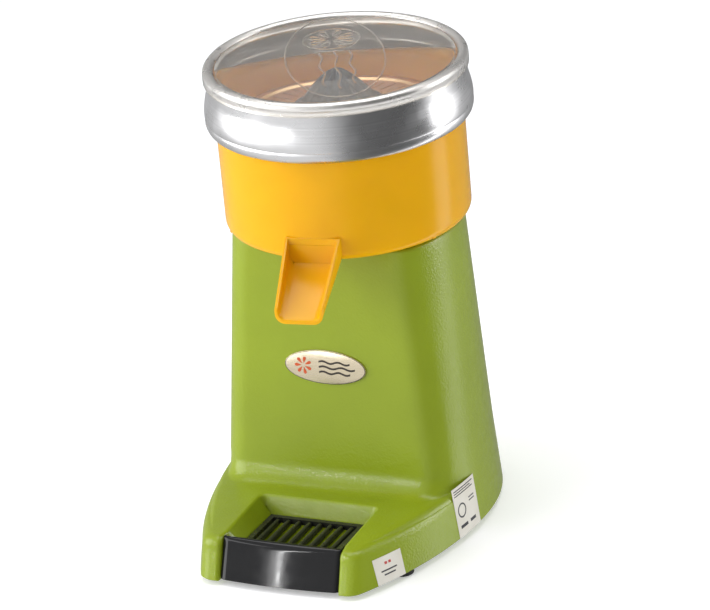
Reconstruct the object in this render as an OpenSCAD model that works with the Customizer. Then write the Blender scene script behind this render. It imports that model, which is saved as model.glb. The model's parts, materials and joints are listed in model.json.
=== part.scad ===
// Bench-top citrus press juicer: a painted cast housing holds an upright motor, and the bowl,
// strainer, reamer, splash ring and clear lid stack on its shaft.
// +Z is up, the spout and the drip tray face -Y, and the feet stand on Z = 0.

/* [Housing] */
// Height of the cast housing, without its feet
housing_h = 222.5; // [200:0.5:270]
// Greatest width of the housing at its foot
base_w = 199; // [190:1:240]
// Reach of the foot in front of the motor shaft
base_front = 172; // [160:1:208]
// Reach of the foot behind the motor shaft
base_rear = 108; // [98:1:130]
// Width of the foot at its front corners
base_front_w = 132; // [126:1:150]
// Width across the top of the housing
column_w = 169; // [166:1:178]
// Width of the flat front face at its top
face_top_w = 154; // [140:1:160]
// Width of the flat front face above the cove
face_low_w = 182; // [170:1:186]
// Distance from the shaft to the top of the front face
face_top_y = 55; // [54:1:62]
// Distance from the shaft to the bottom of the front face
face_low_y = 66; // [60:1:72]
// Corner radius of the column
column_corner_r = 22; // [14:1:26]
// Corner radius of the foot
foot_corner_r = 12; // [8:1:16]
// Radius of the cove between the front face and the deck
cove_r = 16; // [10:1:20]
// Height of the deck at its back edge, above the housing's lower edge
deck_back_h = 34.5; // [32:0.5:42]
// Fall of the deck towards the front
deck_fall = 4; // [2:0.5:6]
// Rounding of the deck's front and side edges
edge_r = 8; // [6:0.5:10]
// Forward slope of the foot's front, as run over rise
front_slope = 0.35; // [0.2:0.01:0.45]
// Wall thickness of the casting
wall = 4; // [3:0.5:5]
// Thickness of the housing's top
top_t = 6; // [5:0.5:8]

/* [Feet and base plate] */
// Height that the rubber feet show under the housing
foot_h = 3.5; // [3:0.5:8]
// Radius of a rubber foot
foot_r = 8.5; // [7:0.5:10]
// Thickness of the steel base plate
plate_t = 1.5; // [1:0.5:2.5]
// Clearance round the base plate
plate_gap = 0.5; // [0.3:0.1:1]

/* [Drip tray] */
// Width of the tray's front panel
tray_front_w = 94; // [84:1:100]
// Width of the tray's box and of the grid
tray_w = 76; // [64:1:80]
// Length of the tray's box behind its front panel
tray_l = 58; // [46:1:62]
// Height of the tray's front panel
tray_front_h = 29; // [24:0.5:30]
// Height of the tray's box
tray_box_h = 18; // [14:0.5:20]
// Wall thickness of the tray
tray_t = 2; // [1.5:0.25:3]
// Bulge of the front panel
tray_bulge = 2.5; // [1:0.5:4]
// Clearance round the tray in its pocket
tray_gap = 0.6; // [0.4:0.1:1.2]
// Number of ribs on the grid
grid_ribs = 8; // [5:1:10]
// Width of one grid rib
grid_rib_w = 3; // [2:0.5:4]

/* [Bowl and spout] */
// Outer radius of the bowl at its rim
bowl_r = 90.8; // [88:0.1:92]
// Narrowing of the bowl's wall towards its floor
bowl_draft = 0.6; // [0:0.1:2]
// Height of the bowl from its underside to its rim
bowl_h = 117; // [110:0.5:140]
// Wall thickness of the bowl
bowl_t = 2.5; // [2:0.25:3.5]
// Rounding between the bowl's wall and floor
bowl_fillet = 8; // [5:0.5:10]
// Angle that the bowl is turned on its seat
spout_turn = 8.5; // [-15:0.5:15]
// Width of the spout where it leaves the bowl
spout_w = 41.4; // [34:0.2:50]
// Width of the spout at its lip
spout_tip_w = 36; // [30:0.5:44]
// Reach of the spout beyond the bowl's wall
spout_l = 47; // [35:1:54]
// Drop of the spout over its reach
spout_drop = 28; // [22:1:40]
// Depth of the spout's channel where it leaves the bowl
spout_depth = 11; // [8:0.5:14]
// Depth of the spout's channel at its lip
spout_tip_depth = 7.5; // [5:0.5:10]
// Height of the rim seat that carries the strainer, above the bowl's underside
strainer_h = 50; // [46:0.5:54]

/* [Ring, lid and reamer] */
// Thickness of the spun aluminium ring
ring_t = 1.2; // [0.8:0.1:1.6]
// Height of the ring's rolled top bead
bead_h = 5.6; // [5:0.1:7]
// Depth of the ring below the bowl's rim
ring_drop = 37.5; // [34:0.5:40]
// Thickness of the clear lid
lid_t = 1.2; // [1:0.1:1.6]
// Depth of the lid's skirt below the bead's top
lid_skirt = 8.6; // [7:0.2:9]
// Radius of the reamer's cone at its foot
reamer_r = 34; // [28:0.5:36]
// Height of the reamer's cone above its skirt
reamer_h = 52.5; // [44:0.5:53]
// Number of ribs on the reamer
reamer_ribs = 12; // [8:1:16]

/* [Motor] */
// Radius of the motor's shaft
shaft_r = 6; // [5:0.25:6]
// Outer radius of the stator and brackets
stator_r = 50; // [47:0.5:50]
// Length of the stator's iron core
stator_h = 50; // [44:1:52]
// Outer radius of a shaft bearing
bearing_r = 16; // [14:0.5:17]
// Width of a shaft bearing
bearing_w = 10; // [8:0.5:11]
// Radial running clearance of the shaft
run_gap = 0.05; // [0.02:0.01:0.1]

/* [Electrical] */
// Width of the switch bezel
switch_w = 32; // [28:0.5:36]
// Height of the switch bezel
switch_h = 25; // [22:0.5:30]
// Height of the switch above the table
switch_z = 84; // [78:1:100]
// Radius of the cable gland's bore
gland_bore_r = 4; // [3:0.25:5]
// Height of the cable gland above the table
gland_z = 26; // [25:0.5:34]

/* [Hidden] */
$fn = 96;
eps = 0.01;

// Heights of the stack
z_base = foot_h;
z_deck = z_base + deck_back_h;
z_top = z_base + housing_h;
z_rim = z_top + bowl_h;

// Cable gland, the rearmost piece
gland_flat_y = base_rear - 18;
gland_head_l = 24;
gland_hex_r = 10;
gland_thread_r = 8;
gland_end_y = gland_flat_y + gland_head_l;

// The shaft stands behind the middle of the footprint
axis_y = (base_front - gland_end_y) / 2;

// ---- housing outline ------------------------------------------------------------------------

// Straight change of a size from one height to another
function lerp(a, b, t) = a + (b - a) * t;
function share(z, low, high) = (z - low) / (high - low);

// Sizes of the level outline at the top, above the cove and at the lower edge
z_cove = z_deck + cove_r;
waist_w = lerp(column_w, base_w, 0.71);
waist_mid_y = -18;
foot_mid_y = -25;
waist_rear = lerp(column_w / 2, base_rear, 0.72);

function half_w(z) = z > z_cove ? lerp(waist_w, column_w, share(z, z_cove, z_top)) / 2
    : lerp(base_w, waist_w, share(z, z_base, z_cove)) / 2;
function mid_y(z) = z > z_cove ? lerp(waist_mid_y, 0, share(z, z_cove, z_top))
    : lerp(foot_mid_y, waist_mid_y, share(z, z_base, z_cove));
function rear_y(z) = z > z_cove ? lerp(waist_rear, column_w / 2, share(z, z_cove, z_top))
    : lerp(base_rear, waist_rear, share(z, z_base, z_cove));
function face_y(z) = -lerp(face_low_y, face_top_y, share(z, z_cove, z_top));
function face_half_w(z) = lerp(face_low_w, face_top_w, share(z, z_cove, z_top)) / 2;

// Front edge of the deck, where its rounding starts
z_deck_front = z_deck - deck_fall;
edge_z = z_deck_front - edge_r;
edge_y = -base_front + front_slope * (edge_z - z_base) + edge_r;
deck_back_y = -(face_low_y + cove_r);

// One level outline: [z, half width, widest y, rear y, front y, front half width, corner radius]
function column_row(z, s) =
    [z, half_w(z) - s, mid_y(z), rear_y(z) - s, face_y(z) + s, face_half_w(z) - s, column_corner_r - s];
function cove_row(a, s) =
    let (z = z_cove - (cove_r + s) * sin(a), y = deck_back_y + (cove_r + s) * cos(a))
    [z, half_w(z) - s, mid_y(z), rear_y(z) - s, y, (face_low_w / 2 - 3 * (1 - cos(a))) - s,
     column_corner_r - s];
function deck_row(q, s) =
    let (z = lerp(z_deck, z_deck_front, q) - s)
    [z, half_w(z) - s, mid_y(z), rear_y(z) - s, lerp(deck_back_y, edge_y, q),
     lerp(face_low_w / 2 - 3, base_front_w / 2 - 5, pow(q, 1.5)) - s,
     lerp(column_corner_r, foot_corner_r, q) - s];
function edge_row(a, s) =
    let (z = edge_z + (edge_r - s) * cos(a), y = edge_y - (edge_r - s) * sin(a))
    [z, half_w(z) - s, mid_y(z), rear_y(z) - s, y, base_front_w / 2 - s - 5 * (1 - sin(a)),
     foot_corner_r - s];
function foot_row(z, s) =
    [z, half_w(z) - s, mid_y(z), rear_y(z) - s, -base_front + front_slope * (z - z_base) + s,
     base_front_w / 2 - s, foot_corner_r - s];

// Outline points of a row: a round front corner, a flank arc that meets it, and an oval rear
function flank_r(r) =
    let (a = r[1] - r[5] + r[6], b = r[4] + r[6] - r[2])
    (a * a + b * b - r[6] * r[6]) / (2 * (r[1] - r[5]));
function flank_angle(r) = atan2(r[4] + r[6] - r[2], r[5] - r[6] - r[1] + flank_r(r));
function flank_x(r, y) = r[1] - flank_r(r) + sqrt(pow(flank_r(r), 2) - pow(y - r[2], 2));
corner_steps = 4;
flank_steps = 5;
rear_steps = 7;
function right_side(r) = concat(
    [for (i = [0 : corner_steps]) let (a = lerp(-90, flank_angle(r), i / corner_steps))
        [r[5] - r[6] + r[6] * cos(a), axis_y + r[4] + r[6] + r[6] * sin(a), r[0]]],
    [for (i = [1 : flank_steps]) let (a = flank_angle(r) * (1 - i / flank_steps))
        [r[1] - flank_r(r) * (1 - cos(a)), axis_y + r[2] + flank_r(r) * sin(a), r[0]]],
    [for (i = [1 : rear_steps]) let (a = 90 * i / rear_steps)
        [r[1] * cos(a), axis_y + r[2] + (r[3] - r[2]) * sin(a), r[0]]]);
function outline(r) =
    let (side = right_side(r), n = len(side))
    concat(side, [for (i = [n - 2 : -1 : 0]) [-side[i][0], side[i][1], side[i][2]]]);

// Closed skin through a stack of level outlines, from the lowest to the highest
module skin(rows) {
    rings = [for (r = rows) outline(r)];
    n = len(rings[0]);
    top = (len(rings) - 1) * n;
    polyhedron(
        points = [for (ring = rings) each ring],
        faces = concat(
            [[for (j = [0 : n - 1]) j]],
            [[for (j = [n - 1 : -1 : 0]) top + j]],
            [for (i = [0 : len(rings) - 2], j = [0 : n - 1])
                [i * n + j, (i + 1) * n + j, (i + 1) * n + (j + 1) % n]],
            [for (i = [0 : len(rings) - 2], j = [0 : n - 1])
                [i * n + j, (i + 1) * n + (j + 1) % n, i * n + (j + 1) % n]]));
}

top_edge_r = 3;
module housing_form() {
    skin(concat(
        [foot_row(z_base, 0)],
        [for (a = [90 : -30 : 0]) edge_row(a, 0)],
        [for (q = [0.8 : -0.2 : 0.1]) deck_row(q, 0)],
        [for (a = [90 : -22.5 : 0]) cove_row(a, 0)],
        [column_row(z_top - top_edge_r, 0)],
        [let (r = column_row(z_top, 0))
            [r[0], r[1] - top_edge_r, r[2], r[3] - top_edge_r, r[4] + top_edge_r,
             r[5] - top_edge_r, r[6]]]));
}
module housing_cavity() {
    skin(concat(
        [foot_row(z_base - 1, wall)],
        [for (a = [90 : -45 : 0]) edge_row(a, wall)],
        [deck_row(0.5, wall)],
        [for (a = [90 : -45 : 0]) cove_row(a, wall)],
        [column_row(z_top - top_t, wall)]));
}

// ---- drip tray pocket -----------------------------------------------------------------------

pocket_wall = 3;
pocket_floor_t = 2.5;
pocket_z = z_base + pocket_floor_t;
tray_z = pocket_z + tray_gap;
grid_top_z = tray_z + tray_box_h;
panel_back_y = -base_front + 17;
tray_back_y = panel_back_y + tray_l;
pocket_flare = (tray_front_w - tray_w) / 2;
pocket_back_lean = 5;

// Trapezoid pocket, straight below the grid and flared above it, open at the front
module pocket_space(grow, front) {
    half = tray_w / 2 + tray_gap + grow;
    back = tray_back_y + tray_gap + grow;
    high = z_deck + 12;
    rise = high - grid_top_z;
    flare = pocket_flare * rise / (z_deck - grid_top_z);
    lean = pocket_back_lean * rise / (z_deck - grid_top_z);
    intersection() {
        translate([0, axis_y + back + lean, 0]) rotate([90, 0, 0])
            linear_extrude(back + lean - front)
                polygon([[-half, pocket_z - grow], [half, pocket_z - grow], [half, grid_top_z],
                    [half + flare, high], [-half - flare, high], [-half, grid_top_z]]);
        rotate([90, 0, 90]) translate([0, 0, -base_w / 2])
            linear_extrude(base_w)
                polygon([[axis_y + front - 1, pocket_z - grow - 1],
                    [axis_y + back, pocket_z - grow - 1], [axis_y + back, grid_top_z],
                    [axis_y + back + lean, high], [axis_y + front - 1, high]]);
    }
}
// Clearance for the front panel, which is wider than the tray's box
module panel_space() {
    half = tray_front_w / 2 + tray_gap;
    translate([-half, axis_y - base_front - 20, z_base - 1])
        cube([2 * half, panel_back_y + tray_gap + base_front + 20, 60]);
}

// ---- fastening places -----------------------------------------------------------------------

// Each foot stands just inside the lower edge: on the flank arc in front, on the oval behind
foot_inset = foot_r + 1.5;
foot_edge = foot_row(z_base, 0);
foot_front_a = asin((-base_front + 52 - foot_edge[2]) / flank_r(foot_edge));
foot_front = [foot_edge[1] - flank_r(foot_edge) + (flank_r(foot_edge) - foot_inset) * cos(foot_front_a),
    foot_edge[2] + (flank_r(foot_edge) - foot_inset) * sin(foot_front_a)];
foot_rear_a = 42;
foot_rear_n = [cos(foot_rear_a) / foot_edge[1], sin(foot_rear_a) / (foot_edge[3] - foot_edge[2])];
foot_rear = [foot_edge[1] * cos(foot_rear_a),
    foot_edge[2] + (foot_edge[3] - foot_edge[2]) * sin(foot_rear_a)]
    - foot_inset * foot_rear_n / norm(foot_rear_n);
foot_places = [for (p = [foot_front, foot_rear], s = [-1, 1]) [s * p[0], axis_y + p[1]]];
plate_screw_places = [for (s = [-1, 1]) [s * (base_w / 2 - wall - 5), axis_y + mid_y(z_base)]];
plate_z = z_base + 1;
boss_z = plate_z + plate_t;
boss_r = 6.5;
boss_h = 20;
screw_r = 2;
screw_l = 12;

// ---- motor heights --------------------------------------------------------------------------

bracket_top_z = z_top - top_t;
bracket_plate_t = 6;
bearing_up_z = bracket_top_z - 4 - bearing_w;
core_top_z = bracket_top_z - 30;
core_z = core_top_z - stator_h;
low_plate_z = core_z - 30;
bearing_low_z = low_plate_z + 4;
winding_h = 15;
winding_r = 42;
winding_in_r = 30;
core_bore_r = 28;
rotor_r = core_bore_r - 0.4;
cup_t = 3;
hub_r = bearing_r + 4;
hub_h = bearing_w + 4;
shaft_hole_r = shaft_r + 2;
fan_top_z = low_plate_z - 9;
fan_h = 15;
shaft_z = fan_top_z - fan_h - 4;
bolt_r = 2;
bolt_place_r = 44.6;
bolt_head_h = 4;
mount_screw_place_r = 33;
mount_screw_r = 2.5;
mount_head_r = 4.8;
mount_head_h = 3;

// Tower round the shaft, pressed into the housing's top, that the bowl's collar sits over
tower_r = 12.5;
tower_h = 24;
seal_r = 9.5;
seal_h = 6;
collar_in_r = tower_r + 0.5;
collar_out_r = collar_in_r + 2.5;
collar_h = 36;

// Reamer heights
strainer_z = z_top + strainer_h;
reamer_skirt_z = strainer_z + 7;
reamer_skirt_t = 3;
reamer_skirt_r = reamer_r + 4;
reamer_hub_r = 11;
reamer_hub_z = z_top + collar_h + 2;
reamer_apex_z = reamer_skirt_z + reamer_skirt_t + reamer_h;
shaft_top_z = reamer_skirt_z + 15;
pin_r = 2;
pin_l = 18;
pin_z = reamer_hub_z + 6;
pin_gap = 0.3;

module at_axis(z = 0) { translate([0, axis_y, z]) children(); }
module around_axis(count, r, first = 0) {
    for (i = [0 : count - 1])
        at_axis() rotate([0, 0, first + 360 * i / count]) translate([r, 0, 0]) children();
}
module tube(r_out, r_in, h) {
    difference() {
        cylinder(r = r_out, h = h);
        translate([0, 0, -1]) cylinder(r = r_in, h = h + 2);
    }
}

// ---- badge and labels -----------------------------------------------------------------------

badge_w = 65;
badge_h = 26;
badge_t = 1.5;
badge_z = z_base + 0.573 * housing_h;
badge_pin_r = 1.2;
badge_pin_x = 20;
face_tilt = atan((face_low_y - face_top_y) / (z_top - z_cove));
module on_face() {
    translate([0, axis_y + face_y(badge_z), badge_z]) rotate([90 - face_tilt, 0, 0]) children();
}
function oval(w, h, n = 64) = [for (i = [0 : n - 1]) [w / 2 * cos(360 * i / n), h / 2 * sin(360 * i / n)]];

// Places a plate against the right flank at a height and a distance from the shaft
module on_flank(y, z) {
    step = 4;
    low = foot_row(z - step, 0);
    high = foot_row(z + step, 0);
    x = (flank_x(low, y) + flank_x(high, y)) / 2;
    turn = atan((flank_x(low, y + step) - flank_x(low, y - step)) / (2 * step));
    lean = atan((flank_x(low, y) - flank_x(high, y)) / (2 * step));
    translate([x, axis_y + y, z]) rotate([0, 0, -turn]) rotate([0, 90 - lean, 0]) children();
}
label_t = 0.4;
label_gap = 0.15;
rating_w = 32;
rating_h = 38;
rating_y = -47;
front_label_w = 25;
front_label_h = 20;
front_label_y = -139;

// ---- switch and gland places ----------------------------------------------------------------

switch_flat_y = rear_y(switch_z) - 4.5;
pad_depth = 9;
switch_body_w = switch_w - 4;
switch_body_h = switch_h - 4;
switch_bezel_t = 2.5;
switch_body_l = 14;
rocker_w = 20;
rocker_h = 15;
rocker_pivot_y = switch_flat_y - 2;
rocker_swing = 12;
rocker_gap = 0.4;

module rear_pad(w, h, z, flat_y) {
    translate([-w / 2, axis_y + flat_y - pad_depth, z - h / 2]) cube([w, 2 * pad_depth, h]);
}
module rear_flat(w, h, z, flat_y) {
    translate([-w / 2, axis_y + flat_y, z - h / 2]) cube([w, 40, h]);
}

// ---- housing --------------------------------------------------------------------------------

module housing() {
    color("yellowgreen")
    difference() {
        housing_form();
        difference() {
            housing_cavity();
            pocket_space(pocket_wall, -base_front);
            translate([-tray_front_w / 2 - pocket_wall - tray_gap, axis_y - base_front, 0])
                cube([tray_front_w + 2 * pocket_wall + 2 * tray_gap,
                    panel_back_y + tray_gap + pocket_wall + base_front, z_deck]);
            for (p = concat(foot_places, plate_screw_places))
                translate([p[0], p[1], boss_z]) cylinder(r = boss_r, h = boss_h);
            rear_pad(switch_w + 8, switch_h + 8, switch_z, switch_flat_y);
            rear_pad(30, 30, gland_z, gland_flat_y);
        }
        pocket_space(0, -base_front - 20);
        panel_space();
        for (p = concat(foot_places, plate_screw_places))
            translate([p[0], p[1], boss_z - 1]) cylinder(r = screw_r, h = screw_l + 1);
        at_axis(z_top - top_t - 1) cylinder(r = tower_r, h = top_t + 2);
        around_axis(4, mount_screw_place_r, 45) {
            translate([0, 0, z_top - top_t - 1]) cylinder(r = mount_screw_r, h = top_t + 2);
            translate([0, 0, z_top - mount_head_h - 0.3]) cylinder(r = mount_head_r + 0.2, h = 5);
        }
        on_face() for (s = [-1, 1]) translate([s * badge_pin_x, 0, -3]) cylinder(r = badge_pin_r, h = 4);
        rear_flat(switch_w + 1, switch_h + 1, switch_z, switch_flat_y);
        translate([-switch_body_w / 2, axis_y + switch_flat_y - 30, switch_z - switch_body_h / 2])
            cube([switch_body_w, 40, switch_body_h]);
        rear_flat(26, 26, gland_z, gland_flat_y);
        translate([0, axis_y + gland_flat_y + 1, gland_z]) rotate([90, 0, 0])
            cylinder(r = gland_thread_r + 0.2, h = 30);
        translate([earth_place[0], earth_place[1], boss_z - 1 + boss_h - 12]) cylinder(r = 1.6, h = 14);
        // Spot face that keeps the wall off the earth screw's head
        translate([earth_place[0], earth_place[1], boss_z + boss_h])
            cylinder(r = earth_head_r + 0.4, h = earth_head_h + 1);
    }
}
earth_place = [foot_places[3][0], foot_places[3][1]];
earth_head_r = 3;
earth_head_h = 2.2;

// ---- base plate, feet and their screws ------------------------------------------------------

module base_plate() {
    color("silver")
    difference() {
        intersection() {
            skin([foot_row(z_base - 2, wall + plate_gap), foot_row(z_base + 8, wall + plate_gap)]);
            translate([-base_w, -base_front - base_rear, plate_z])
                cube([2 * base_w, 2 * (base_front + base_rear), plate_t]);
        }
        translate([-(tray_front_w / 2 + pocket_wall + tray_gap + plate_gap), axis_y - base_front - 5, 0])
            cube([tray_front_w + 2 * (pocket_wall + tray_gap + plate_gap),
                panel_back_y + tray_gap + pocket_wall + plate_gap + base_front + 5, 20]);
        translate([-(tray_w / 2 + tray_gap + pocket_wall + plate_gap), axis_y - base_front, 0])
            cube([tray_w + 2 * (tray_gap + pocket_wall + plate_gap),
                tray_back_y + tray_gap + pocket_wall + plate_gap + base_front, 20]);
        for (p = concat(foot_places, plate_screw_places))
            translate([p[0], p[1], 0]) cylinder(r = screw_r + 0.3, h = 20);
        for (i = [-2 : 2]) translate([i * 10 - 2, axis_y - 30, 0]) cube([4, 40, 20]);
        for (s = [-1, 1]) translate([cap_x, cap_y + s * cap_screw_y, 0]) cylinder(r = cap_screw_r, h = 20);
        translate([-14, axis_y + gland_flat_y - pad_depth - 1, 0]) cube([28, 40, 20]);
    }
}
module base_screws() {
    color("dimgray")
    for (p = plate_screw_places) translate([p[0], p[1], 0]) {
        translate([0, 0, plate_z - 2]) cylinder(r = 3.6, h = 2);
        translate([0, 0, plate_z - eps]) cylinder(r = screw_r, h = screw_l);
    }
}
foot_recess_h = 1.6;
foot_screw_head_h = 1.6;
module feet() {
    color("black")
    for (p = foot_places) translate([p[0], p[1], 0]) difference() {
        union() {
            cylinder(r = foot_r, h = z_base);
            cylinder(r = foot_r - wall + 1, h = plate_z);
        }
        translate([0, 0, -1]) cylinder(r = screw_r + 0.2, h = plate_z + 2);
        translate([0, 0, -1]) cylinder(r = 4.4, h = foot_recess_h + foot_screw_head_h + 1);
    }
}
module foot_screws() {
    color("silver")
    for (p = foot_places) translate([p[0], p[1], foot_recess_h]) {
        cylinder(r = 4, h = foot_screw_head_h);
        translate([0, 0, foot_screw_head_h - eps]) cylinder(r = screw_r, h = screw_l);
    }
}

// ---- badge and labels -----------------------------------------------------------------------

module badge() {
    color("wheat") on_face() {
        linear_extrude(badge_t) polygon(oval(badge_w, badge_h));
        for (s = [-1, 1]) translate([s * badge_pin_x, 0, -2.9]) cylinder(r = badge_pin_r, h = 3);
    }
}
module flank_label(w, h, y) {
    on_flank(y, z_base + h / 2 + 1)
        translate([-h / 2, -w / 2, label_gap]) cube([h, w, label_t]);
}
module rating_label() { color("linen") flank_label(rating_w, rating_h, rating_y); }
module front_label() { color("linen") flank_label(front_label_w, front_label_h, front_label_y); }

// ---- drip tray and grid ---------------------------------------------------------------------

panel_slot = 6;
front_lean = 0.4;
panel_z = z_base + 0.8;
module drip_tray() {
    color([0.12, 0.12, 0.12])
    difference() {
        union() {
            // Front panel: a sloping outer face, bulged in plan
            intersection() {
                rotate([90, 0, 90]) translate([0, 0, -tray_front_w / 2])
                    linear_extrude(tray_front_w)
                        polygon([[axis_y - base_front, panel_z],
                            [axis_y - base_front + tray_front_h * front_lean, panel_z + tray_front_h],
                            [axis_y + panel_back_y, panel_z + tray_front_h],
                            [axis_y + panel_back_y, panel_z]]);
                panel_bulge();
            }
            translate([-tray_w / 2, axis_y + panel_back_y - eps, tray_z])
                cube([tray_w, tray_l + eps, tray_box_h - 4]);
        }
        translate([-tray_w / 2 + tray_t, axis_y + panel_back_y + tray_t - 1, tray_z + tray_t])
            cube([tray_w - 2 * tray_t, tray_l - 2 * tray_t + 1, tray_box_h]);
        // Slot that hollows the thick foot of the front panel from below
        translate([-tray_w / 2, axis_y + panel_back_y - panel_slot - tray_t, z_base - 1])
            cube([tray_w, panel_slot, tray_front_h * 0.4]);
    }
}
// Large round form that gives the front panel its bulge
module panel_bulge() {
    r = (pow(tray_front_w / 2, 2) + pow(tray_bulge, 2)) / (2 * tray_bulge);
    translate([0, axis_y - base_front, z_base]) rotate([-atan(front_lean), 0, 0])
        translate([0, r, -60]) cylinder(r = r, h = 160, $fn = 200);
}
grid_gap = 0.4;
grid_t = 4;
grid_frame_w = 4;
grid_front_w = 8;
grid_front_rise = 6.5;
module drip_grid() {
    inner_w = tray_w - 2 * grid_frame_w;
    inner_l = tray_l - grid_gap - grid_front_w - grid_frame_w;
    pitch = inner_w / grid_ribs;
    color([0.15, 0.15, 0.15])
    translate([0, axis_y + panel_back_y + grid_gap, grid_top_z - grid_t]) {
        difference() {
            translate([-tray_w / 2, 0, 0]) cube([tray_w, tray_l - grid_gap, grid_t]);
            translate([-inner_w / 2, grid_front_w, -1]) cube([inner_w, inner_l, grid_t + 2]);
        }
        // Ramp from the ribs up to the tray's front panel
        rotate([90, 0, 90]) translate([0, 0, -tray_w / 2]) linear_extrude(tray_w)
            polygon([[0, grid_t - eps], [grid_front_w, grid_t - eps], [0, grid_t + grid_front_rise]]);
        for (i = [0 : grid_ribs - 1])
            translate([-inner_w / 2 + (i + 0.5) * pitch - grid_rib_w / 2, grid_front_w - 1, 0])
                cube([grid_rib_w, inner_l + 2, grid_t]);
    }
}

// ---- bowl and strainer ----------------------------------------------------------------------

bowl_floor_t = 3;
bowl_lip = 1.8;
strainer_seat = 5;
seat_ribs = 6;
bowl_low_r = bowl_r - bowl_draft;
spout_floor_z = bowl_floor_t;
module spout_side(inner) {
    // Side view of the spout: reach from the shaft against height above the bowl's underside
    start = bowl_low_r;
    tip = start + spout_l;
    under = inner ? 0 : bowl_floor_t;
    open_top = spout_floor_z + spout_depth;
    pts = inner
        ? [[start - 16, spout_floor_z], [start - 4, spout_floor_z],
            [tip + 1, spout_floor_z - spout_drop - spout_drop / spout_l],
            [tip + 1, open_top + 20], [start + 0.6, open_top + 20],
            [start + 0.6, open_top], [start - 16, open_top]]
        : [[start - 14, 0], [start - 4 - 0.7, 0], [tip, spout_floor_z - under - spout_drop],
            [tip, spout_floor_z + spout_tip_depth - spout_drop], [start, open_top],
            [start - 14, open_top]];
    half_1 = spout_w / 2 - (inner ? bowl_t : 0);
    half_2 = spout_tip_w / 2 - (inner ? bowl_t : 0);
    intersection() {
        rotate([0, 0, -90]) rotate([90, 0, 0]) translate([0, 0, -40]) linear_extrude(80) polygon(pts);
        translate([0, 0, -80]) linear_extrude(200)
            polygon([[-half_1, -start + 20], [-half_1, -start], [-half_2, -tip], [-half_2, -tip - 2],
                [half_2, -tip - 2], [half_2, -tip], [half_1, -start], [half_1, -start + 20]]);
    }
}
module bowl() {
    fillet = [for (a = [0 : 15 : 90])
        [bowl_low_r - bowl_fillet * (1 - sin(a)), bowl_fillet * (1 - cos(a))]];
    inner_r = bowl_fillet - bowl_t;
    inner_fillet = [for (a = [90 : -15 : 0])
        [bowl_low_r - bowl_t - inner_r * (1 - sin(a)), bowl_floor_t + inner_r * (1 - cos(a))]];
    color("orange") at_axis(z_top) rotate([0, 0, spout_turn])
    difference() {
        union() {
            rotate_extrude($fn = 120) polygon(concat(
                [[collar_in_r, 0]], fillet,
                [[bowl_r, bowl_h - 2], [bowl_r + bowl_lip, bowl_h - 2], [bowl_r + bowl_lip, bowl_h],
                    [bowl_r - bowl_t, bowl_h]],
                inner_fillet,
                [[collar_out_r, bowl_floor_t], [collar_out_r, collar_h], [collar_in_r, collar_h]]));
            for (i = [0 : seat_ribs - 1]) rotate([0, 0, 360 * (i + 0.5) / seat_ribs])
                translate([bowl_low_r - bowl_t - strainer_seat, -1.5, bowl_floor_t - eps])
                    cube([strainer_seat + 1, 3, strainer_h - bowl_floor_t]);
            spout_side(false);
        }
        spout_side(true);
    }
}

strainer_r = bowl_low_r - bowl_t - 0.7;
strainer_t = 1;
strainer_dish = 2.5;
strainer_hole_r = 18;
module strainer() {
    flat_r = strainer_r - strainer_seat - 6;
    color("gainsboro") at_axis(strainer_z) union() {
        // Flat rim, short cone down to the perforated floor, and the collar round the hub
        rotate_extrude($fn = 120) polygon([
            [strainer_r, 0], [strainer_r, strainer_t], [flat_r + 4, strainer_t],
            [flat_r, strainer_t - strainer_dish], [flat_r - 1, strainer_t - strainer_dish],
            [flat_r - 1, -strainer_dish], [flat_r + 0.6, -strainer_dish], [flat_r + 4.6, 0]]);
        translate([0, 0, -strainer_dish]) linear_extrude(strainer_t) difference() {
            circle(r = flat_r - 0.5);
            circle(r = strainer_hole_r);
            for (ring = [[24, 26, 46], [36, 51, flat_r - 4]], i = [0 : ring[0] - 1])
                rotate(360 * i / ring[0]) translate([ring[1], -1]) square([ring[2] - ring[1], 2]);
        }
        translate([0, 0, -strainer_dish]) tube(strainer_hole_r + 1, strainer_hole_r, 4);
    }
}

// ---- splash ring, lid and reamer ------------------------------------------------------------

bead_in_r = bowl_r - 0.8;
bead_w = 5.5;
bead_c = bead_in_r + bead_w / 2;
bead_top = bead_h;
neck_r = bowl_r + bowl_lip + 0.3 + ring_t;
bulge_r = neck_r + 2.7;
// Outer surface of the ring from the bead's inner foot to the lower edge, and the sheet's inner side
function ring_curve(s) = concat(
    [[bead_in_r + s, 0]],
    [for (a = [180 : -20 : 0])
        [bead_c + (bead_w / 2 - s) * cos(a), bead_top - bead_w / 2 + (bead_w / 2 - s) * sin(a)]],
    [[bead_in_r + bead_w - s, 1], [neck_r - s, -3], [neck_r - s, -ring_drop * 0.32],
        [neck_r + 1.2 - s, -ring_drop * 0.42], [bulge_r - 0.4 - s, -ring_drop * 0.58],
        [bulge_r - s, -ring_drop * 0.7], [bulge_r - 0.5 - s, -ring_drop * 0.76],
        [bulge_r - s, -ring_drop * 0.82], [bulge_r - 0.7 - s, -ring_drop * 0.93],
        [neck_r + 0.2 - s, -ring_drop]]);
function reversed(list) = [for (i = [len(list) - 1 : -1 : 0]) list[i]];
module splash_ring() {
    color("lightgray") at_axis(z_rim)
        rotate_extrude($fn = 120) polygon(concat(ring_curve(0), reversed(ring_curve(ring_t))));
}

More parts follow.
